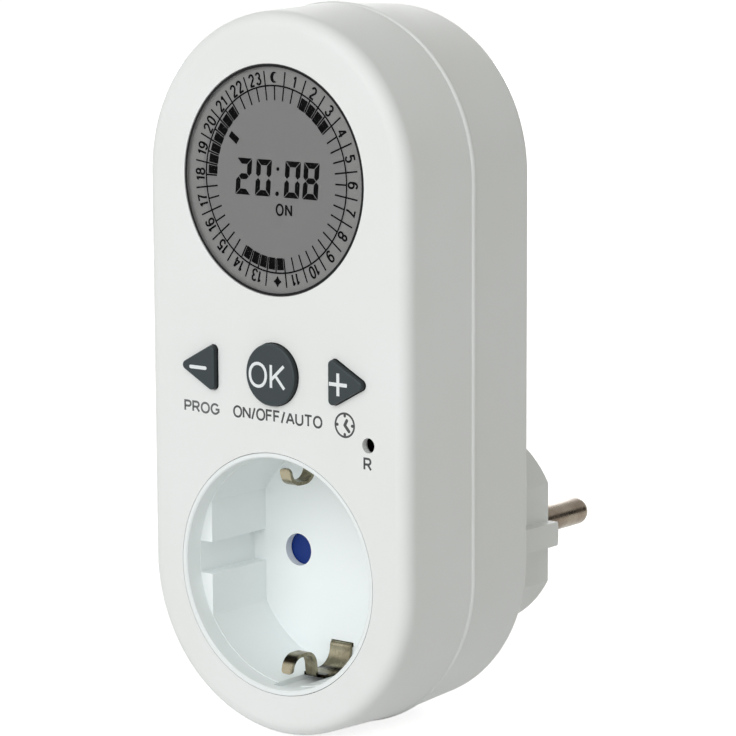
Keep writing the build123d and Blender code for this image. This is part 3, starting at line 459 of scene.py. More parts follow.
@dataclass(frozen=True)
class DialGlass(Finish):
    """The display glass: grey reflector, with a paler band for the hours."""

    field: RGB
    band: RGB
    band_radius: float = 15.4 * MM
    band_soft: float = 0.1 * MM
    speckle_shade: float = 0.8

    def dress(self, sheet: Sheet, skin: bpy.types.Node) -> None:
        """Distance from the dial centre picks field or band; the grain is fine.

        Args:
            sheet: The material's sheet.
            skin: Its shader.
        """
        place = sheet.place()
        across, _, up = sheet.parts(place)
        up = sheet.maths("SUBTRACT", up, DIAL_CENTRE)
        squares = (sheet.maths("MULTIPLY", v, v) for v in (across, up))
        radius = sheet.maths("SQRT", sheet.maths("ADD", *squares))
        edge, soft = self.band_radius, self.band_soft
        share = sheet.ranged(radius, edge - soft, edge + soft, 0.0, 1.0)
        base = sheet.mix(share, self.field, self.band)
        speckle = sheet.noise(place, 6000.0, 2.0, 0.7)
        dim = sheet.ranged(speckle, 0.35, 0.65, 0.0, 0.16)
        darker = tuple(self.speckle_shade * c for c in self.field)
        sheet.wire(
            skin,
            Base_Color=sheet.mix(dim, base, darker),
            Roughness=0.5,
            Specular_IOR_Level=0.2,
            Normal=sheet.bump(speckle, 0.002 * MM, 0.6),
        )


@dataclass(frozen=True)
class Ink(Finish):
    """Printed ink or a liquid crystal mark, a little uneven."""

    colour: RGB
    roughness: float = 0.55
    thin: float = 0.2
    gloss: float = 0.3
    fade: float = 0.12
    spread: float = 0.06

    def dress(self, sheet: Sheet, skin: bpy.types.Node) -> None:
        """The ink thins by a small share where a fine noise is high.

        Args:
            sheet: The material's sheet.
            skin: Its shader.
        """
        spots = sheet.noise(sheet.place(), 5000.0, 3.0, 0.6)
        share = sheet.ranged(spots, 0.45, 0.75, 0.0, self.thin)
        faded = tuple(c + self.fade * (1 - c) for c in self.colour)
        low, high = self.roughness - self.spread, self.roughness + self.spread
        sheet.wire(
            skin,
            Base_Color=sheet.mix(share, self.colour, faded),
            Roughness=sheet.ranged(spots, 0.3, 0.7, low, high),
            Specular_IOR_Level=self.gloss,
        )


@dataclass(frozen=True)
class CircuitBoard(Finish):
    """Green solder mask over copper tracks, with the tracks raised."""

    mask: RGB
    track: RGB
    pitch: float = 1.27 * MM
    copper: float = 0.035 * MM

    def dress(self, sheet: Sheet, skin: bpy.types.Node) -> None:
        """Tracks run in a stepped pattern across the board's flat sides.

        Args:
            sheet: The material's sheet.
            skin: Its shader.
        """
        across, _, up = sheet.parts(sheet.place())
        flat = sheet.node("ShaderNodeCombineXYZ", {0: up, 1: across}).outputs[0]
        inputs = {"Vector": flat, "Scale": 1.0, "Mortar Smooth": 0.15}
        for title, share in (("Mortar Size", 0.22), ("Brick Width", 11), ("Row Height", 1)):
            inputs[title] = share * self.pitch
        laid = sheet.node("ShaderNodeTexBrick", inputs).outputs["Fac"]
        weave = sheet.noise(flat, 1500.0, 2.0, 0.6)
        tint = sheet.mix(sheet.ranged(weave, 0.3, 0.7, 0.0, 0.35), self.mask, self.track)
        sheet.wire(
            skin,
            Base_Color=sheet.mix(laid, tint, self.track),
            Roughness=sheet.ranged(weave, 0.3, 0.7, 0.25, 0.38),
            Coat_Weight=0.3,
            Normal=sheet.bump(laid, self.copper),
        )


@dataclass(frozen=True)
class Banded(Finish):
    """Even bands across one axis, as on a ribbon, a rubber strip or wire turns."""

    colour: RGB
    band: RGB
    axis: Axis
    pitch: float
    share: float = 0.5
    roughness: float = 0.5
    metallic: float = 0.0
    relief: float = 0.01 * MM
    soft: float = 0.08
    spread: float = 0.07

    def dress(self, sheet: Sheet, skin: bpy.types.Node) -> None:
        """band = share > |2 (x / pitch mod 1) - 1|, with soft edges.

        Args:
            sheet: The material's sheet.
            skin: Its shader.
        """
        place = sheet.place()
        along = sheet.parts(place)[self.axis.value]
        saw = sheet.maths("FRACT", sheet.maths("DIVIDE", along, self.pitch))
        wave = sheet.maths("ABSOLUTE", sheet.maths("MULTIPLY_ADD", saw, 2.0, -1.0))
        mask = sheet.ranged(wave, self.share - self.soft, self.share + self.soft, 1.0, 0.0)
        specks = sheet.noise(place, 3000.0, 3.0, 0.6)
        low, high = self.roughness - self.spread, self.roughness + self.spread
        sheet.wire(
            skin,
            Base_Color=sheet.mix(mask, self.colour, self.band),
            Metallic=self.metallic,
            Roughness=sheet.ranged(specks, 0.3, 0.7, low, high),
            Normal=sheet.bump(mask, self.relief),
        )


WHITE = MouldedPlastic(
    "housing_white", linear(237, 239, 238), linear(235, 237, 235),
    roughness=0.48, polish=-0.04, gloss=0.28,
)
INSERT = MouldedPlastic(
    "insert_white", linear(245, 250, 250), linear(242, 247, 246),
    # Painted shade: the insert's front rim ring is painted 0.95 times as bright.
    roughness=0.36, polish=-0.03, gloss=0.36, bands=((-1.0 * MM, 0.4 * MM, 0.95),),
)
CARRIER = MouldedPlastic("carrier_white", linear(214, 212, 202), linear(205, 202, 190))
KEY = MouldedPlastic(
    "key_grey", linear(46, 55, 58), linear(50, 58, 60),
    roughness=0.42, polish=-0.04, waves=3200.0, depth=0.01 * MM, gloss=0.28,
    # Painted highlight on the keys' rounded front edge (1.35 times as bright) and painted shade
    # on their sides (0.45 times).
    bands=((-1.07 * MM, -0.88 * MM, 1.35), (-0.88 * MM, 20.0 * MM, 0.45)),
)
BLACK = MouldedPlastic("frame_black", linear(30, 31, 32), linear(38, 38, 39))
CHIP = MouldedPlastic("chip_black", linear(26, 26, 28), linear(34, 34, 35), 0.6)
SWITCH = MouldedPlastic("switch_black", linear(24, 24, 25), linear(32, 32, 33))
PLUNGER = MouldedPlastic("plunger_brown", linear(92, 62, 44), linear(102, 70, 50))
SHUTTER = MouldedPlastic(
    "shutter_blue", linear(14, 48, 124), linear(21, 58, 142), roughness=0.4, gloss=0.3
)
RELAY_CASE = MouldedPlastic("relay_black", linear(28, 29, 31), linear(36, 37, 38), 0.5)
FILM_BOX = MouldedPlastic("capacitor_box", linear(206, 172, 64), linear(196, 160, 56))
SLEEVE = MouldedPlastic("sleeve_dark", linear(34, 40, 66), linear(40, 46, 74), 0.32)
DISC = MouldedPlastic("varistor_blue", linear(38, 92, 164), linear(46, 100, 170), 0.3)
NICKEL = DrawnMetal(
    "nickel_plate", linear(166, 160, 150), linear(142, 134, 120),
    roughness=0.26, dulled=0.12, patch=160.0,
)
CLIP = DrawnMetal(
    "earth_clip", linear(156, 149, 127), linear(122, 115, 95),
    along=(2500.0, 300.0, 300.0), roughness=0.16, dulled=0.12, patch=340.0,
    # Four spots of painted shade and dark reflection on the earth clips.
    smudge=linear(30, 26, 17),
    smudges=(
        (-52.0 * MM, -14.9 * MM, 1.15 * MM),
        (-45.4 * MM, -19.5 * MM, 1.7 * MM),
        (-43.4 * MM, -20.0 * MM, 1.5 * MM),
        (-41.4 * MM, -19.3 * MM, 1.5 * MM),
    ),
)
PIN = DrawnMetal(
    "plug_pin", linear(138, 128, 114), linear(118, 106, 92),
    along=(300.0, 3500.0, 300.0), roughness=0.16, dulled=0.1, patch=180.0,
)
BRASS = DrawnMetal("contact_brass", linear(214, 176, 96), linear(150, 112, 60))
STEEL = DrawnMetal("screw_steel", linear(178, 178, 176), linear(120, 116, 108))
CELL = DrawnMetal("battery_steel", linear(198, 198, 196), linear(150, 148, 144))
IRON = DrawnMetal("relay_iron", linear(150, 150, 152), linear(98, 92, 86), roughness=0.4)
PANE = ClearPane("window_clear", linear(40, 41, 42), 0.03)
DIAL = DialGlass("lcd_glass", linear(133, 133, 133), linear(143, 143, 142))
BOARD = CircuitBoard("board_green", linear(22, 84, 52), linear(52, 124, 70))
RIBBON = Banded("ribbon_grey", linear(176, 178, 180), linear(120, 122, 126), Axis.X, 1.27 * MM)
ZEBRA = Banded(
    "zebra_rubber", linear(214, 208, 196), linear(34, 33, 33), Axis.X, 0.3 * MM, share=0.45
)
RESISTOR = Banded(
    "resistor_body", linear(206, 178, 132), linear(120, 62, 34), Axis.Z, 2.3 * MM,
    share=0.3, roughness=0.4,
)
WIRE = Banded(
    "coil_copper", linear(196, 104, 56), linear(150, 66, 34), Axis.Z, 0.42 * MM,
    roughness=0.3, metallic=1.0,
)
CRYSTAL_MARK = Ink("display_black", linear(18, 18, 19), roughness=0.6, thin=0.01, gloss=0.0)
LABEL = Ink("label_grey", linear(72, 73, 74), roughness=0.6, thin=0.25)
PALE_LABEL = Ink("label_pale_grey", linear(98, 99, 100), roughness=0.6, thin=0.25)
KEY_MARK = Ink("key_mark_white", linear(232, 236, 238), roughness=0.5, thin=0.1)
BORDER = Ink("border_black", linear(14, 14, 15), roughness=0.6, thin=0.05, gloss=0.15)

BY_SLOT: dict[str, Finish] = {
    finish.name: finish
    for finish in (
        WHITE, INSERT, CARRIER, KEY, BLACK, CHIP, SWITCH, PLUNGER, SHUTTER,
        RELAY_CASE, FILM_BOX, SLEEVE, DISC, NICKEL, BRASS, STEEL, CELL, IRON,
        PANE, DIAL, BOARD, RIBBON, ZEBRA, RESISTOR, WIRE,
    )
}
BY_NODE: dict[str, Finish] = {
    "earth_clip_top": CLIP,
    "earth_clip_bottom": CLIP,
    "plug_pin_neutral": PIN,
    "plug_pin_line": PIN,
}


# Surfaces


def linked(name: str, data: bpy.types.ID) -> bpy.types.Object:
    """Puts an object into the scene.

    Args:
        name: Its name.
        data: Its mesh, camera or lamp.

    Returns:
        The object.
    """
    made = bpy.data.objects.new(name, data)
    bpy.context.scene.collection.objects.link(made)
    return made


@dataclass(frozen=True)
class Layer:
    """The Y of a flat mark's front side and of its back side."""

    near: float
    far: float

    def raised(self, lift: float) -> "Layer":
        """The same layer with its front side this much further forward."""
        return Layer(self.near - lift, self.far)


@dataclass
class Surface:
    """Closed shapes as points (n, 3) and blocks of faces (m, corners)."""

    points: np.ndarray
    faces: list[np.ndarray]

    @staticmethod
    def joined(shapes: Sequence["Surface"]) -> "Surface":
        """All the shapes as one surface, each with its own points.

        Args:
            shapes: The shapes.

        Returns:
            The one surface.
        """
        counts = np.cumsum([0] + [len(shape.points) for shape in shapes[:-1]])
        faces = [block + start for shape, start in zip(shapes, counts) for block in shape.faces]
        return Surface(np.concatenate([shape.points for shape in shapes]), faces)

    def placed(self, turn: float, across: float, up: float) -> "Surface":
        """Turned clockwise about Y and shifted.

        (X, Z) becomes (across + X cos t + Z sin t, up - X sin t + Z cos t).

        Args:
            turn: Clockwise angle in degrees, seen from the front.
            across: Shift along X.
            up: Shift along Z.

        Returns:
            The placed surface.
        """
        c, s = math.cos(math.radians(turn)), math.sin(math.radians(turn))
        x, y, z = self.points.T
        turned = [across + x * c + z * s, y, up - x * s + z * c]
        return Surface(np.stack(turned, axis=1), self.faces)

    def volume(self) -> float:
        """Signed volume: the sum of corner . (corner x corner) / 6 over fans."""
        total = 0.0
        for block in self.faces:
            corner = self.points[block]
            for k in range(1, block.shape[1] - 1):
                fan = np.cross(corner[:, k], corner[:, k + 1])
                total += float(np.einsum("ij,ij->", corner[:, 0], fan)) / 6
        return total

    def piece(
        self, name: str, finish: Finish, body: Body, slot: str, smooth: bool = False
    ) -> None:
        """Makes the Blender piece, with faces outward, riding on its body.

        Args:
            name: The piece's name.
            finish: Its finish.
            body: The body it rides on.
            slot: The record's material slot; not used.
            smooth: True for a rounded surface.
        """
        flip = -1 if self.volume() < 0 else 1
        rows = [row[::flip] for block in self.faces for row in block.tolist()]
        mesh = bpy.data.meshes.new(name)
        mesh.from_pydata(self.points.tolist(), [], rows)
        mesh.polygons.foreach_set("use_smooth", np.full(len(rows), smooth))
        mesh.materials.append(finish.material())
        mesh.update()
        made = linked(name, mesh)
        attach(made, body.value)
        LOG.info("%s: %d faces on %s", name, len(rows), body.value)


def net(rows: int, columns: int, close_rows: bool, close_columns: bool) -> np.ndarray:
    """Quads between neighbours on a grid of points numbered row by row.

    Args:
        rows: Points along the first parameter.
        columns: Points along the second parameter.
        close_rows: True if the last row joins the first.
        close_columns: True if the last column joins the first.

    Returns:
        Corner numbers, (quads, 4).
    """
    spans = np.arange(rows - (not close_rows)), np.arange(columns - (not close_columns))
    i, j = (part.ravel() for part in np.meshgrid(*spans, indexing="ij"))
    here, after, beside = i * columns, (i + 1) % rows * columns, (j + 1) % columns
    return np.stack([here + j, here + beside, after + beside, after + j], axis=1)


def slabs(corners: np.ndarray, layer: Layer) -> Surface:
    """Flat closed slabs on polygons in X and Z.

    point(n, side, k) = (corner x, near or far, corner z).

    Args:
        corners: Polygons, (polygons, corners, 2).
        layer: Their front and back sides.

    Returns:
        The slabs.
    """
    count, k, _ = corners.shape
    points = np.zeros((count, 2, k, 3))
    points[..., 0] = corners[:, None, :, 0]
    points[..., 1] = np.array([layer.near, layer.far])[None, :, None]
    points[..., 2] = corners[:, None, :, 1]
    base = np.arange(count)[:, None] * 2 * k
    ring, beside = np.arange(k), (np.arange(k) + 1) % k
    sides = np.stack([ring, ring + k, beside + k, beside], axis=1)
    sides = (base[:, :, None] + sides[None]).reshape(-1, 4)
    return Surface(points.reshape(-1, 3), [base + ring[::-1], base + k + ring, sides[:, ::-1]])


def polar(radius: float | np.ndarray, degrees: float | np.ndarray) -> np.ndarray:
    """(X, Z) at a radius and a clockwise angle from the top of the dial."""
    angle = np.radians(degrees)
    return np.stack([radius * np.sin(angle), DIAL_CENTRE + radius * np.cos(angle)], axis=-1)


def spokes(
    degrees: np.ndarray, inner: float, outer: float, width: float, layer: Layer
) -> Surface:
    """Straight bars along radii of the dial.

    corner = polar(r, a) + s * (cos a, -sin a), with s = -width/2 or width/2.

    Args:
        degrees: Clockwise angle of each bar.
        inner: Radius where the bars start.
        outer: Radius where they end.
        width: Width of a bar.
        layer: Their front and back sides.

    Returns:
        The bars.
    """
    angle = np.radians(degrees)[:, None]
    half = np.array([-0.5, -0.5, 0.5, 0.5])[None] * width
    corners = polar(np.array([inner, outer, outer, inner])[None], degrees[:, None])
    corners = corners + half[..., None] * np.stack([np.cos(angle), -np.sin(angle)], -1)
    return slabs(corners, layer)


def arcs(
    starts: np.ndarray, ends: np.ndarray, inner: float, outer: float, layer: Layer
) -> Surface:
    """Blocks between two radii and two angles of the dial.

    corner(u) = polar(inner, a(u)) for u from 0 to 1, then polar(outer, a(u)) back.

    Args:
        starts: Angle where each block starts.
        ends: Angle where it ends.
        inner: Inner radius.
        outer: Outer radius.
        layer: Their front and back sides.

    Returns:
        The blocks.
    """
    angle = starts[:, None] + (ends - starts)[:, None] * np.linspace(0.0, 1.0, 5)
    low, high = polar(inner, angle), polar(outer, angle)
    return slabs(np.concatenate([low, high[:, ::-1]], axis=1), layer)


def hoop(inner: float, outer: float, layer: Layer, centre: Point, steps: int = 144) -> Surface:
    """A flat ring: a four-cornered profile carried round a circle.

    point(u, v) = (cx + r(v) sin u, y(v), cz + r(v) cos u).

    Args:
        inner: Inner radius.
        outer: Outer radius.
        layer: Its front and back sides.
        centre: X and Z of the centre.
        steps: Points round the circle.

    Returns:
        The ring.
    """
    u = np.linspace(0.0, 2 * np.pi, steps, endpoint=False)[:, None]
    r = np.array([inner, outer, outer, inner])[None]
    y = np.broadcast_to([layer.near, layer.near, layer.far, layer.far], (steps, 4))
    points = np.stack([centre[0] + r * np.sin(u), y, centre[1] + r * np.cos(u)], axis=-1)
    return Surface(points.reshape(-1, 3), [net(steps, 4, True, True)])


def rounded_bar(start: Point, end: Point, width: float, layer: Layer) -> Surface:
    """A straight bar with half-round ends, from one point to another.

    corner(t) = end + w/2 (d cos t + n sin t) on the far half circle, and the
    same about start on the near half circle.

    Args:
        start: X and Z of the first end's centre.
        end: X and Z of the second end's centre.
        width: The bar's width.
        layer: Its front and back sides.

    Returns:
        The bar.
    """
    a, b = np.array(start), np.array(end)
    along = (b - a) / max(np.linalg.norm(b - a), 1e-12)
    across = np.array([-along[1], along[0]])
    t = np.linspace(-np.pi / 2, np.pi / 2, 9)[:, None]
    cap = np.cos(t) * along + np.sin(t) * across
    corners = np.concatenate([b + cap * width / 2, a - cap * width / 2])
    return slabs(corners[None], layer)


def arc(
    cx: float, cz: float, rx: float, rz: float, start: float, end: float, square: float = 1.0
) -> np.ndarray:
    """Points on an arc, (X, Z) = (cx + rx c, cz + rz s).

    c and s are cos a and sin a with their size raised to the power square,
    which fills out the corners where it is below 1.

    Args:
        cx: Centre X.
        cz: Centre Z.
        rx: Half width.
        rz: Half height.
        start: First angle in degrees, counter-clockwise from +X.
        end: Last angle.
        square: The power.

    Returns:
        Points, (points, 2).
    """
    a = np.radians(np.linspace(start, end, max(4, int(abs(end - start) / 12) + 1)))
    c, s = (np.sign(v) * np.abs(v) ** square for v in (np.cos(a), np.sin(a)))
    return np.stack([cx + rx * c, cz + rz * s], axis=1)


def line(*numbers: int) -> np.ndarray:
    """Points of a bent line, as X and Z by turns in hundredths."""
    return np.array(numbers).reshape(-1, 2) / 100


def stroke(path: np.ndarray, width: float, layer: Layer) -> Surface:
    """A four-cornered profile carried along a flat path.

    point(i, v) = path(i) + m(i) s(v) at y(v). m(i) is the mean of the two
    neighbours' normals, lengthened by 1 / cos of half the bend and by 1.6 at
    most. A path that ends where it starts is closed, and another has caps.

    Args:
        path: X and Z along the path, (points, 2).
        width: Width of the stroke.
        layer: Its front and back sides.

    Returns:
        The stroke.
    """
    closed = bool(np.allclose(path[0], path[-1]))
    path = path[:-1] if closed else path
    run = np.roll(path, -1, axis=0) - path
    run /= np.maximum(np.linalg.norm(run, axis=1, keepdims=True), 1e-12)
    if not closed:
        run[-1] = run[-2]
    before = np.roll(run, 1, axis=0)
    if not closed:
        before[0] = run[0]
    normal = np.stack([-(run + before)[:, 1], (run + before)[:, 0]], axis=1)
    length = np.maximum(np.linalg.norm(normal, axis=1, keepdims=True), 1e-9)
    mitre = normal / length * np.minimum(2 / length, 1.6)
    side = np.array([-0.5, 0.5, 0.5, -0.5])[None, :, None] * width
    flat = path[:, None, :] + mitre[:, None, :] * side
    depth = np.broadcast_to([layer.near, layer.near, layer.far, layer.far], flat.shape[:2])
    points = np.stack([flat[..., 0], depth, flat[..., 1]], axis=-1).reshape(-1, 3)
    faces = [net(len(path), 4, closed, True)]
    if not closed:
        last = 4 * (len(path) - 1)
        faces.append(np.array([[3, 2, 1, 0], [last, last + 1, last + 2, last + 3]]))
    return Surface(points, faces)


def run_on(*parts: np.ndarray) -> np.ndarray:
    """One path from several that follow one another."""
    return np.concatenate(parts)


# Centre lines of the letters and figures, in letter heights about their middle.
SIX = [arc(0.0, -0.19, 0.27, 0.31, 0, 360), arc(0.06, 0.0, 0.33, 0.5, 42, 200)]
BOWL = arc(0.08, 0.235, 0.24, 0.265, 90, -90)
HOOK = line(38, -26, 38, -4, 6, -4)
GLYPHS: dict[str, list[np.ndarray]] = {
    "0": [arc(0, 0, 0.27, 0.5, 0, 360, 0.85)],
    "1": [line(-15, 24, 4, 44), line(6, 50, 6, -50)],
    "2": [
        run_on(arc(0, 0.23, 0.27, 0.27, 172, -30), line(-23, -46)),
        line(-29, -50, 29, -50),
    ],
    "3": [arc(-0.01, 0.26, 0.25, 0.24, 160, -90), arc(-0.01, -0.24, 0.28, 0.26, 90, -165)],
    "4": [line(13, -50, 13, 50), line(10, 45, -29, -20, 30, -20)],
    "5": [line(26, 50, -18, 50, -22, 2), arc(0, -0.18, 0.28, 0.32, 140, -155)],
    "6": SIX,
    "7": [line(-28, 50, 28, 50, 6, 10, -5, -20, -9, -50)],
    "8": [arc(0, 0.26, 0.23, 0.24, 0, 360), arc(0, -0.24, 0.28, 0.26, 0, 360)],
    "9": [-path for path in SIX],
    "O": [arc(0, 0, 0.4, 0.5, 0, 360, 0.95)],
    "N": [
        line(-34, -50, -34, 50),
        line(-31, 44, 31, -44),
        line(34, -50, 34, 50),
    ],
    "P": [run_on(line(-29, -50, -29, 50), BOWL, line(-27, -3))],
    "G": [run_on(arc(0, 0, 0.39, 0.5, 40, 318), HOOK)],
    "F": [line(29, 50, -27, 50, -27, -50), line(-27, 3, 22, 3)],
    "A": [
        line(-38, -50, -2, 48),
        line(-26, -17, 26, -17),
        line(38, -50, 2, 48),
    ],
    "U": [
        run_on(
            line(-34, 50, -34, -10),
            arc(0, -0.16, 0.34, 0.34, 180, 360),
            line(34, 50),
        )
    ],
    "T": [line(-36, 50, 36, 50), line(0, 50, 0, -50)],
    "K": [
        line(-30, -50, -30, 50),
        line(34, 50, -30, -16),
        line(-9, 6, 36, -50),
    ],
    "/": [line(-15, -54, 15, 54)],
}
GLYPHS["R"] = [*GLYPHS["P"], line(5, -3, 36, -50)]


def lettering(
    words: str,
    width: float | None,
    height: float,
    weight: float,
    layer: Layer,
    gap: float = 0.17,
) -> Surface:
    """Words as strokes of one weight, in a box about the origin.

    Each glyph's centre lines are shifted to follow the last one, then all are
    scaled, so that lines and stroke together fill width by height. Strokes
    that cross lie a few micrometres apart.

    Args:
        words: What is written.
        width: Width of the words, or None for NARROW times their own.
        height: Height of the letters.
        weight: Width of the stroke.
        layer: Their front and back sides.
        gap: Room between letters, in letter heights.

    Returns:
        The letters.
    """
    paths, cursor = [], 0.0
    bold = weight / (height - weight)
    for letter in words:
        lows = min(path[:, 0].min() for path in GLYPHS[letter])
        highs = max(path[:, 0].max() for path in GLYPHS[letter])
        paths += [path + (cursor - lows, 0.0) for path in GLYPHS[letter]]
        cursor += highs - lows + bold + gap
    wide = cursor - bold - gap
    tall = height - weight
    across = NARROW * tall if width is None else (width - weight) / max(wide, 1e-6)
    scaled = [(path - (wide / 2, 0.0)) * (across, tall) for path in paths]
    lifts = [CROSSING_STEP * (k % 3) for k in range(len(scaled))]
    return Surface.joined(
        [stroke(path, weight, layer.raised(lift)) for path, lift in zip(scaled, lifts)]
    )


# Sub-assemblies


@dataclass
class DisplayArtwork:
    """What the liquid crystal shows, between the window and its glass."""

    layer: Layer = Layer(FACE + 0.630 * MM, FACE + 0.670 * MM)
    circle: float = 15.4 * MM
    line: float = 0.27 * MM
    tick_inner: float = 13.0 * MM
    split_outer: float = 17.85 * MM
    block_inner: float = 12.9 * MM
    block_outer: float = 14.9 * MM
    block_turns: Point = (0.95, 6.55)
    pointer_turn: float = 305.5
    pointer: RGB = (10.1 * MM, 12.2 * MM, 1.15 * MM)
    label_radius: float = 16.72 * MM
    label_height: float = 2.2 * MM
    label_weight: float = 0.35 * MM
    moon_radius: float = 0.92 * MM
    moon_place: Point = (16.75 * MM, -0.3)
    moon_horn: float = 50.0
    moon_shift: float = 0.55
    sun_middle: float = 0.6 * MM
    sun_swell: float = 0.3 * MM
    sun_place: Point = (16.8 * MM, 179.0)
    sign_squeeze: float = 0.9
    squeeze: RGB = (0.96, 1.0, 0.99)
    nudge: RGB = (0.15 * MM, 0.0, 0.1 * MM)
    figures: tuple[str, ...] = ("2", "0", "0", "8")
    figure_places: tuple[float, ...] = (-6.55 * MM, -2.37 * MM, 3.71 * MM, 7.59 * MM)
    dots: tuple[RGB, ...] = ((0.57, 1.6, 0.62), (0.68, -2.45, 0.74))
    figure_width: float = 3.2 * MM
    figure_height: float = 6.0 * MM
    time_lift: float = 0.28 * MM
    bar: float = 0.96 * MM
    bar_gap: float = 0.085 * MM
    slant: float = 4.6
    on_size: RGB = (3.45 * MM, 2.05 * MM, 0.34 * MM)
    on_place: Point = (1.9 * MM, -4.75 * MM)
    on_periods: tuple[Point, ...] = ((1.5, 3.5), (11.5, 14.0), (18.0, 21.5))

    def _piece(self, name: str, surface: Surface) -> None:
        """Makes one display mark on the housing."""
        surface.piece(name, CRYSTAL_MARK, Body.HOUSING, "frame_black")

    def _dial(self, name: str, surface: Surface) -> None:
        """Makes one mark of the dial, which is drawn a little narrower than round.

        Args:
            name: The piece's name.
            surface: The mark on a round dial.
        """
        middle = np.array((0.0, 0.0, DIAL_CENTRE))
        points = (surface.points - middle) * self.squeeze + middle + self.nudge
        self._piece(name, Surface(points, surface.faces))

    def rings(self) -> None:
        """The hour circle, its 24 separators and its 48 ticks."""
        half, layer = self.line / 2, self.layer
        inner, outer = self.circle - half, self.circle + half
        self._dial("display_circle", hoop(inner, outer, layer, (0.0, DIAL_CENTRE)))
        turns = HOUR / 2 + HOUR * np.arange(24)
        splits = spokes(turns, outer, self.split_outer, self.line, layer)
        self._dial("display_separators", splits)
        ticks = spokes(HOUR / 2 * np.arange(48), self.tick_inner, inner, self.line, layer)
        self._dial("display_ticks", ticks)

    def programme(self) -> None:
        """Dark blocks for the half hours switched on, and the time pointer."""
        starts = np.concatenate([np.arange(a, b, 0.5) for a, b in self.on_periods]) * HOUR
        first, last = (starts + turn for turn in self.block_turns)
        blocks = arcs(first, last, self.block_inner, self.block_outer, self.layer)
        self._dial("display_programme", blocks)
        pointer = spokes(np.array([self.pointer_turn]), *self.pointer, self.layer)
        self._dial("display_pointer", pointer)

    def hours(self) -> None:
        """Hour numbers with their tops outward, with a moon at 0 and a sun at 12."""
        labels = []
        height, weight = self.label_height, self.label_weight
        for hour in (h for h in range(1, 24) if h != 12):
            turn = HOUR * hour
            mark = lettering(str(hour), None, height, weight, self.layer)
            labels.append(mark.placed(turn, *polar(self.label_radius, turn)))
        self._dial("display_hours", Surface.joined(labels))
        self._dial("display_moon", self._moon())
        self._dial("display_sun", self._sun())

    def _moon(self) -> Surface:
        """A crescent: a circle's left arc, then back along a second circle.

        Both circles pass through the horns, moon_horn degrees above and below
        +X; the second one's centre lies moon_shift radii to the right.
        """
        horn, shift = math.radians(self.moon_horn), self.moon_shift
        reach = math.hypot(math.cos(horn) - shift, math.sin(horn))
        turn = math.degrees(math.atan2(math.sin(horn), math.cos(horn) - shift))
        outer = arc(0, 0, 1, 1, self.moon_horn, 360 - self.moon_horn)
        inner = arc(shift, 0, reach, reach, 360 - turn, turn)
        corners = np.concatenate([outer, inner[1:-1]]) * self.moon_radius
        corners = corners * (self.sign_squeeze, 1.0) + polar(*self.moon_place)
        return slabs(corners[None], self.layer)

    def _sun(self) -> Surface:
        """A small four-pointed star: r(t) = middle + swell cos(2t) ** 6."""
        t = np.linspace(0.0, 2 * np.pi, 64, endpoint=False)
        r = self.sun_middle + self.sun_swell * np.cos(2 * t) ** 6
        corners = np.stack([r * np.cos(t) * self.sign_squeeze, r * np.sin(t)], axis=1)
        return slabs((corners + polar(*self.sun_place))[None], self.layer)

    def clock(self) -> None:
        """The time in slanted seven-segment figures, with its two dots."""
        lit = {"0": "ABCDEF", "2": "ABGED", "8": "ABCDEFG"}
        w, h = self.figure_width - self.bar, self.figure_height - self.bar
        ends = {
            "A": ((-1, 1), (1, 1)), "B": ((1, 1), (1, 0)), "C": ((1, 0), (1, -1)),
            "D": ((-1, -1), (1, -1)), "E": ((-1, 0), (-1, -1)), "F": ((-1, 1), (-1, 0)),
            "G": ((-1, 0), (1, 0)),
        }
        signs = np.array([ends[s] for figure in self.figures for s in lit[figure]])
        bars = [len(lit[figure]) for figure in self.figures]
        rows = signs * (w / 2, h / 2)
        rows[:, :, 0] += np.repeat(self.figure_places, bars)[:, None]
        marks = [self._segments(rows, signs)]
        for x, z, width in (np.array(dot) * MM for dot in self.dots):
            marks.append(rounded_bar((x, z - 1e-5), (x, z + 1e-5), width, self.layer))
        whole = Surface.joined(marks)
        whole.points[:, 0] += math.tan(math.radians(self.slant)) * whole.points[:, 2]
        whole.points[:, 2] += DIAL_CENTRE + self.time_lift
        self._piece("display_time", whole)

    def _segments(self, ends: np.ndarray, signs: np.ndarray) -> Surface:
        """Six-cornered bars, mitred where two meet at a corner of the figure.

        At a mitred end the outer side runs on to the figure's corner, so that
        outer = tip + half out - half along, and elsewhere both sides stand back
        by half, which points the bar.

        Args:
            ends: Start and end of each bar in X and Z, (bars, 2, 2).
            signs: The same ends in a figure of height and width 2.

        Returns:
            The bars.
        """
        a, b = ends[:, 0], ends[:, 1]
        along = (b - a) / np.linalg.norm(b - a, axis=1, keepdims=True)
        across = np.stack([-along[:, 1], along[:, 0]], axis=1)
        middle = signs.mean(axis=1)
        side = np.where(np.abs(along[:, :1]) > 0.5, middle[:, 1:], middle[:, :1])
        facing = (across * (np.abs(across) > 0.5)).sum(1, keepdims=True) * side
        flip = np.where(facing < 0, -1, 1)
        out = across * flip
        gap, half = self.bar_gap, self.bar / 2
        a, b = a + along * gap, b - along * gap
        corner = np.abs(signs[:, :, 1:]) > 0.5
        mitre_a, mitre_b = (np.where(corner[:, k], -half, half) for k in (0, 1))
        outer = [a, a + out * half + along * mitre_a, b + out * half - along * mitre_b]
        inner = [b, b - (along + out) * half, a + (along - out) * half]
        corners = np.stack(outer + inner, axis=1)
        corners = np.where((flip < 0)[:, :, None], corners[:, ::-1], corners)
        return slabs(corners, self.layer)

    def state(self) -> None:
        """The word ON under the time."""
        across, up = self.on_place
        word = lettering("ON", *self.on_size, self.layer)
        self._piece("display_on", word.placed(0.0, across, DIAL_CENTRE + up))

    def build(self) -> None:
        """Builds every mark of the display."""
        self.rings()
        self.programme()
        self.hours()
        self.clock()
        self.state()


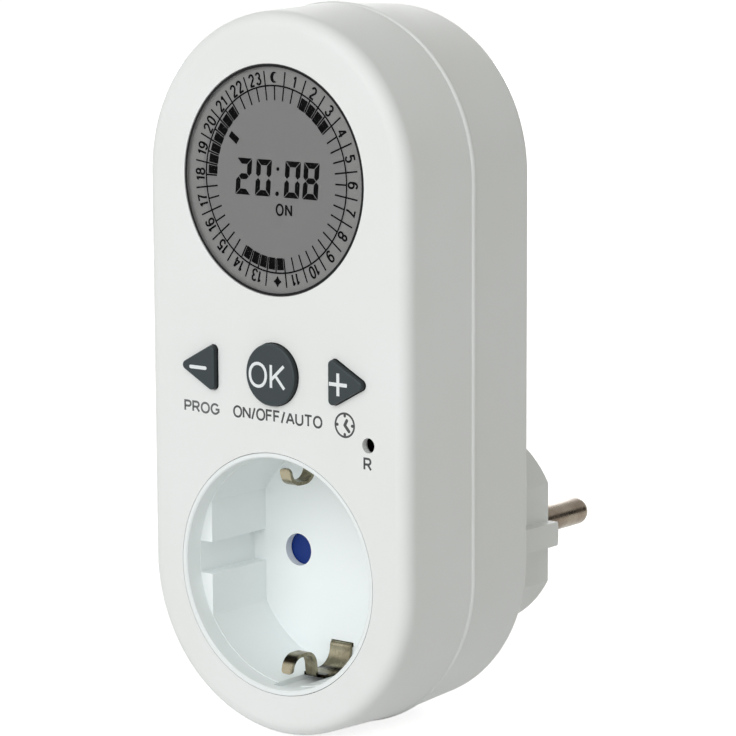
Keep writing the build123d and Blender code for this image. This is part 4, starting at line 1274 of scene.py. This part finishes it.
@dataclass
class FacePrinting:
    """Printing on the front face and on the window's rim."""

    layer: Layer = Layer(FACE - 0.015 * MM, FACE + 0.005 * MM)
    border_radii: Point = (18.42 * MM, 18.82 * MM)
    border_layer: Layer = Layer(FACE + 0.08 * MM, FACE + 0.11 * MM)
    word_gap: float = 0.03
    icon_centre: Point = (14.79 * MM, 26.65 * MM)
    icon_radius: float = 1.93 * MM
    icon_half_line: float = 0.17 * MM
    tick_reach: Point = (0.96, 0.78)
    tick_width: float = 0.5 * MM
    hand_tips: tuple[Point, ...] = ((0.42 * MM, 0.78 * MM), (0.86 * MM, -0.95 * MM))
    hand_width: float = 0.55 * MM
    lift: float = 0.002 * MM

    def border(self) -> None:
        """The black line round the window."""
        ring = hoop(*self.border_radii, self.border_layer, (0.0, DIAL_CENTRE))
        ring.piece("window_border", BORDER, Body.HOUSING, "frame_black")

    def words(self) -> None:
        """The words under the keys and the letter under the reset hole.

        Each row is a name, the words, an ink, X and Z of the middle, then
        width, height and weight, in millimetres.
        """
        rows = (
            ("label_prog", "PROG", PALE_LABEL, -15.7, 26.45, 7.75, 1.98, 0.36),
            ("label_on_off_auto", "ON/OFF/AUTO", LABEL, 0.66, 26.55, 19.0, 2.08, 0.35),
            ("label_reset", "R", LABEL, 19.45, 20.77, 1.7, 2.15, 0.37),
        )
        for name, words, ink, x, z, *size in rows:
            mark = lettering(words, *(value * MM for value in size), self.layer, self.word_gap)
            mark.placed(0.0, x * MM, z * MM).piece(name, ink, Body.HOUSING, "key_grey")

    def icon(self) -> None:
        """A small clock face: a ring, four ticks and two hands."""
        (cx, cz), r, half = self.icon_centre, self.icon_radius, self.icon_half_line
        marks = [hoop(r - half, r + half, self.layer, (cx, cz), 48)]
        for t in np.radians(np.arange(4) * 90.0):
            outer, inner = (
                (cx + reach * r * math.sin(t), cz + reach * r * math.cos(t))
                for reach in self.tick_reach
            )
            layer = self.layer.raised(self.lift)
            marks.append(rounded_bar(outer, inner, self.tick_width, layer))
        for k, (x, z) in enumerate(self.hand_tips):
            layer = self.layer.raised(self.lift * k)
            marks.append(rounded_bar((cx, cz), (cx + x, cz + z), self.hand_width, layer))
        whole = Surface.joined(marks)
        whole.piece("label_clock_icon", LABEL, Body.HOUSING, "key_grey")

    def build(self) -> None:
        """Builds the printing."""
        self.border()
        self.words()
        self.icon()


@dataclass
class KeyMarks:
    """White marks on the three keys, which move with them."""

    layer: Layer = Layer(FACE - 1.12 * MM, FACE - 1.09 * MM)
    height: float = 33.35 * MM
    ok_size: RGB = (7.8 * MM, 4.3 * MM, 0.52 * MM)
    ok_across: float = -0.55 * MM
    ok_gap: float = 0.12
    bar: float = 0.6 * MM
    minus_ends: Point = (-17.1 * MM, -13.9 * MM)
    plus_across: float = 14.3 * MM
    plus_arm: float = 1.85 * MM

    def build(self) -> None:
        """Builds OK, the minus and the plus."""
        ok = lettering("OK", *self.ok_size, self.layer, self.ok_gap)
        ok = ok.placed(0.0, self.ok_across, self.height)
        start, end = ((x, self.height) for x in self.minus_ends)
        minus = rounded_bar(start, end, self.bar, self.layer)
        for name, mark, body in (
            ("mark_ok", ok, Body.OK),
            ("mark_minus", minus, Body.MINUS),
            ("mark_plus", self._cross(), Body.PLUS),
        ):
            mark.piece(name, KEY_MARK, body, "housing_white")

    def _cross(self) -> Surface:
        """A plus as one outline: a corner and two ends, turned four times."""
        half, arm = self.bar / 2, self.plus_arm
        corner = np.array([(half, half), (half, arm), (-half, arm)])
        turn = np.radians(90.0 * np.arange(4))
        c, s = np.cos(turn)[:, None], np.sin(turn)[:, None]
        x = corner[None, :, 0] * c - corner[None, :, 1] * s
        z = corner[None, :, 0] * s + corner[None, :, 1] * c
        outline = np.stack([self.plus_across + x.ravel(), self.height + z.ravel()], axis=1)
        return slabs(outline[None], self.layer)


@dataclass
class RearLip:
    """The rounded front edge of the rear shell, a little proud at the seam."""

    half_width: float = 27.985 * MM
    straight: float = 65.3 * MM
    rise: float = 0.28 * MM
    steps: int = 49

    def build(self) -> None:
        """Builds the lip.

        A half-drop profile is carried round the stadium outline:
        point(u, v) = outline(u) + r(v) n(u) at Y = FACE + d(v), where the
        outline has two half circles of half_width joined by straight runs.
        """
        depth = np.array([16.5, 16.55, 16.7, 16.95, 17.2, 17.5, 17.9, 17.9, 16.52]) * MM
        reach = np.array([-0.9, -0.2, 0.5, 0.9, 1.0, 0.6, -0.3, -2.0, -2.0]) * self.rise
        turn = np.linspace(0.0, np.pi, self.steps)
        top = np.stack([np.cos(turn), np.sin(turn)], axis=1)
        normal = np.concatenate([top, -top])
        lift = np.repeat([self.straight, 0.0], self.steps)[:, None]
        x = normal[:, :1] * (self.half_width + reach)
        z = lift + normal[:, 1:] * (self.half_width + reach)
        y = np.broadcast_to(FACE + depth, x.shape)
        points = np.stack([x, y, z], axis=-1).reshape(-1, 3)
        lip = Surface(points, [net(len(normal), len(depth), True, True)])
        lip.piece("rear_lip", WHITE, Body.HOUSING, "housing_white", smooth=True)


@dataclass
class Studio:
    """Pale floor, white surroundings, soft lamps and the camera."""

    eye: RGB = (0.343800, -0.466269, 0.120458)
    right: RGB = (0.78541394, 0.61895464, -0.00448323)
    upward: RGB = (-0.0946347, 0.12723698, 0.98734747)
    backward: RGB = (0.61169373, -0.7750522, 0.15850828)
    lens: float = 162.333
    ambient: float = 0.355
    ambient_colour: RGB = (1.0, 1.0, 0.93)
    floor_half: float = 3.0
    floor_glow: float = 0.78
    floor_fibre: Point = (90.0, 3.0)
    floor_shades: tuple[RGB, RGB] = ((0.80, 0.80, 0.80), (0.82, 0.82, 0.82))
    aim: RGB = (0.0, -0.03, 0.03)
    lamp_colour: RGB = (0.99, 0.995, 1.02)
    card_place: Point = (0.62, 0.78)
    card_side: Point = (0.79, -0.61)
    card_wide: Point = (-0.3, 0.3)
    card_tall: Point = (-0.03, 0.34)
    card_fibre: Point = (200.0, 2.0)
    card_shades: tuple[RGB, RGB] = ((0.02, 0.018, 0.016), (0.035, 0.03, 0.028))

    @staticmethod
    def _pose(made: bpy.types.Object, axes: Sequence[Sequence[float]], place: RGB) -> None:
        """Turns an object so that its X, Y and Z lie along axes, and places it.

        Args:
            made: The camera or lamp.
            axes: Its three axes.
            place: Where it goes.
        """
        matrix = np.eye(4)
        matrix[:3, :3], matrix[:3, 3] = np.array(axes).T, place
        made.matrix_world = Matrix(matrix.tolist())

    def camera(self) -> None:
        """Places the camera by its three axes."""
        data = bpy.data.cameras.new("camera")
        data.lens, data.sensor_width = self.lens, 36.0
        data.clip_start, data.clip_end = 0.01, 50.0
        made = linked("camera", data)
        self._pose(made, (self.right, self.upward, self.backward), self.eye)
        bpy.context.scene.camera = made

    def world(self) -> None:
        """White to the camera and in reflections, softer as light."""
        world = bpy.data.worlds.new("studio")
        sheet = Sheet.of(world)
        soft, white = (sheet.node("ShaderNodeBackground") for _ in range(2))
        sheet.wire(soft, Color=self.ambient_colour, Strength=self.ambient)
        sheet.wire(white, Color=(1.0, 1.0, 1.0), Strength=1.0)
        inputs = {0: sheet.seen(), 1: soft.outputs[0], 2: white.outputs[0]}
        mixed = sheet.node("ShaderNodeMixShader", inputs)
        sheet.node("ShaderNodeOutputWorld", {"Surface": mixed.outputs[0]})
        bpy.context.scene.world = world

    @staticmethod
    def _board(
        name: str,
        points: Sequence[np.ndarray],
        fibre: Point,
        shades: Sequence[RGB],
        glow: float,
    ) -> bpy.types.Object:
        """A flat grid in matt paper, no part of the object.

        Args:
            name: Its name.
            points: X, Y and Z, each over the grid of two parameters.
            fibre: Fibres in a metre, and how many finer layers of them there are.
            shades: The two shades of its fibres.
            glow: How much it shines towards the camera.

        Returns:
            The object.
        """
        paper = bpy.data.materials.new(name + "_paper")
        sheet = Sheet.of(paper)
        tone = sheet.mix(sheet.noise(sheet.place(), *fibre, 0.5), *shades)
        paint = sheet.node("ShaderNodeBsdfDiffuse", {"Color": tone})
        if glow:
            strength = sheet.maths("MULTIPLY", sheet.seen(), glow)
            lift = sheet.node("ShaderNodeEmission", {"Strength": strength})
            both = {0: paint.outputs[0], 1: lift.outputs[0]}
            paint = sheet.node("ShaderNodeAddShader", both)
        sheet.node("ShaderNodeOutputMaterial", {"Surface": paint.outputs[0]})
        mesh = bpy.data.meshes.new(name)
        places = np.stack([part.ravel() for part in points], axis=1)
        mesh.from_pydata(places.tolist(), [], net(*points[0].shape, False, False).tolist())
        mesh.materials.append(paper)
        mesh.update()
        made = linked(name, mesh)
        made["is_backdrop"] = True
        return made

    def floor(self) -> None:
        """A pale floor that keeps the shadow and fades to white."""
        reach = np.linspace(-self.floor_half, self.floor_half, 5)
        u, v = np.meshgrid(reach, reach)
        points = (u, v, np.full_like(u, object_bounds()[0].z))
        self._board("floor", points, self.floor_fibre, self.floor_shades, self.floor_glow)

    def dark_card(self) -> None:
        """A dark card behind the plug, seen only in reflections in its pins.

        point(u, v) = place + u side, at height v.
        """
        u, v = np.meshgrid(np.linspace(*self.card_wide, 4), np.linspace(*self.card_tall, 4))
        x, y = (at + u * step for at, step in zip(self.card_place, self.card_side))
        made = self._board("dark_card", (x, y, v), self.card_fibre, self.card_shades, 0.0)
        made.visible_camera = made.visible_diffuse = made.visible_shadow = False

    def lamp(self, name: str, place: RGB, size: float, power: float) -> None:
        """A square soft box that faces the object.

        Args:
            name: The lamp's name.
            place: Where it hangs.
            size: Side length.
            power: Watts.
        """
        data = bpy.data.lights.new(name, "AREA")
        data.shape, data.size, data.energy = "SQUARE", size, power
        data.color = self.lamp_colour
        toward = np.array(self.aim) - np.array(place)
        back = -toward / np.linalg.norm(toward)
        side = np.cross((0.0, 0.0, 1.0), back)
        side /= np.linalg.norm(side)
        self._pose(linked(name, data), (side, np.cross(back, side), back), place)

    def build(self) -> None:
        """Builds the studio."""
        self.camera()
        self.world()
        self.floor()
        self.lamp("front_box", (0.12, -1.40, 0.34), 2.2, 25.0)
        self.lamp("rear_box", (-0.9, 1.30, 0.28), 1.2, 9.0)
        self.dark_card()
        bpy.context.scene.view_settings.view_transform = "Standard"


def dress_nodes() -> None:
    """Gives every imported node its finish, by its name or its material slot."""
    for name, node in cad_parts.items():
        for slot in node.material_slots:
            wanted = slot.material.name.split(".")[0]
            slot.material = BY_NODE.get(name, BY_SLOT[wanted]).material()
        LOG.info("%s dressed", name)


def main() -> None:
    """Builds the timer switch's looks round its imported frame."""
    logging.basicConfig(level=logging.INFO, format="%(name)s: %(message)s")
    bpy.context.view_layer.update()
    dress_nodes()
    DisplayArtwork().build()
    FacePrinting().build()
    KeyMarks().build()
    RearLip().build()
    Studio().build()


if __name__ == "__main__":
    main()
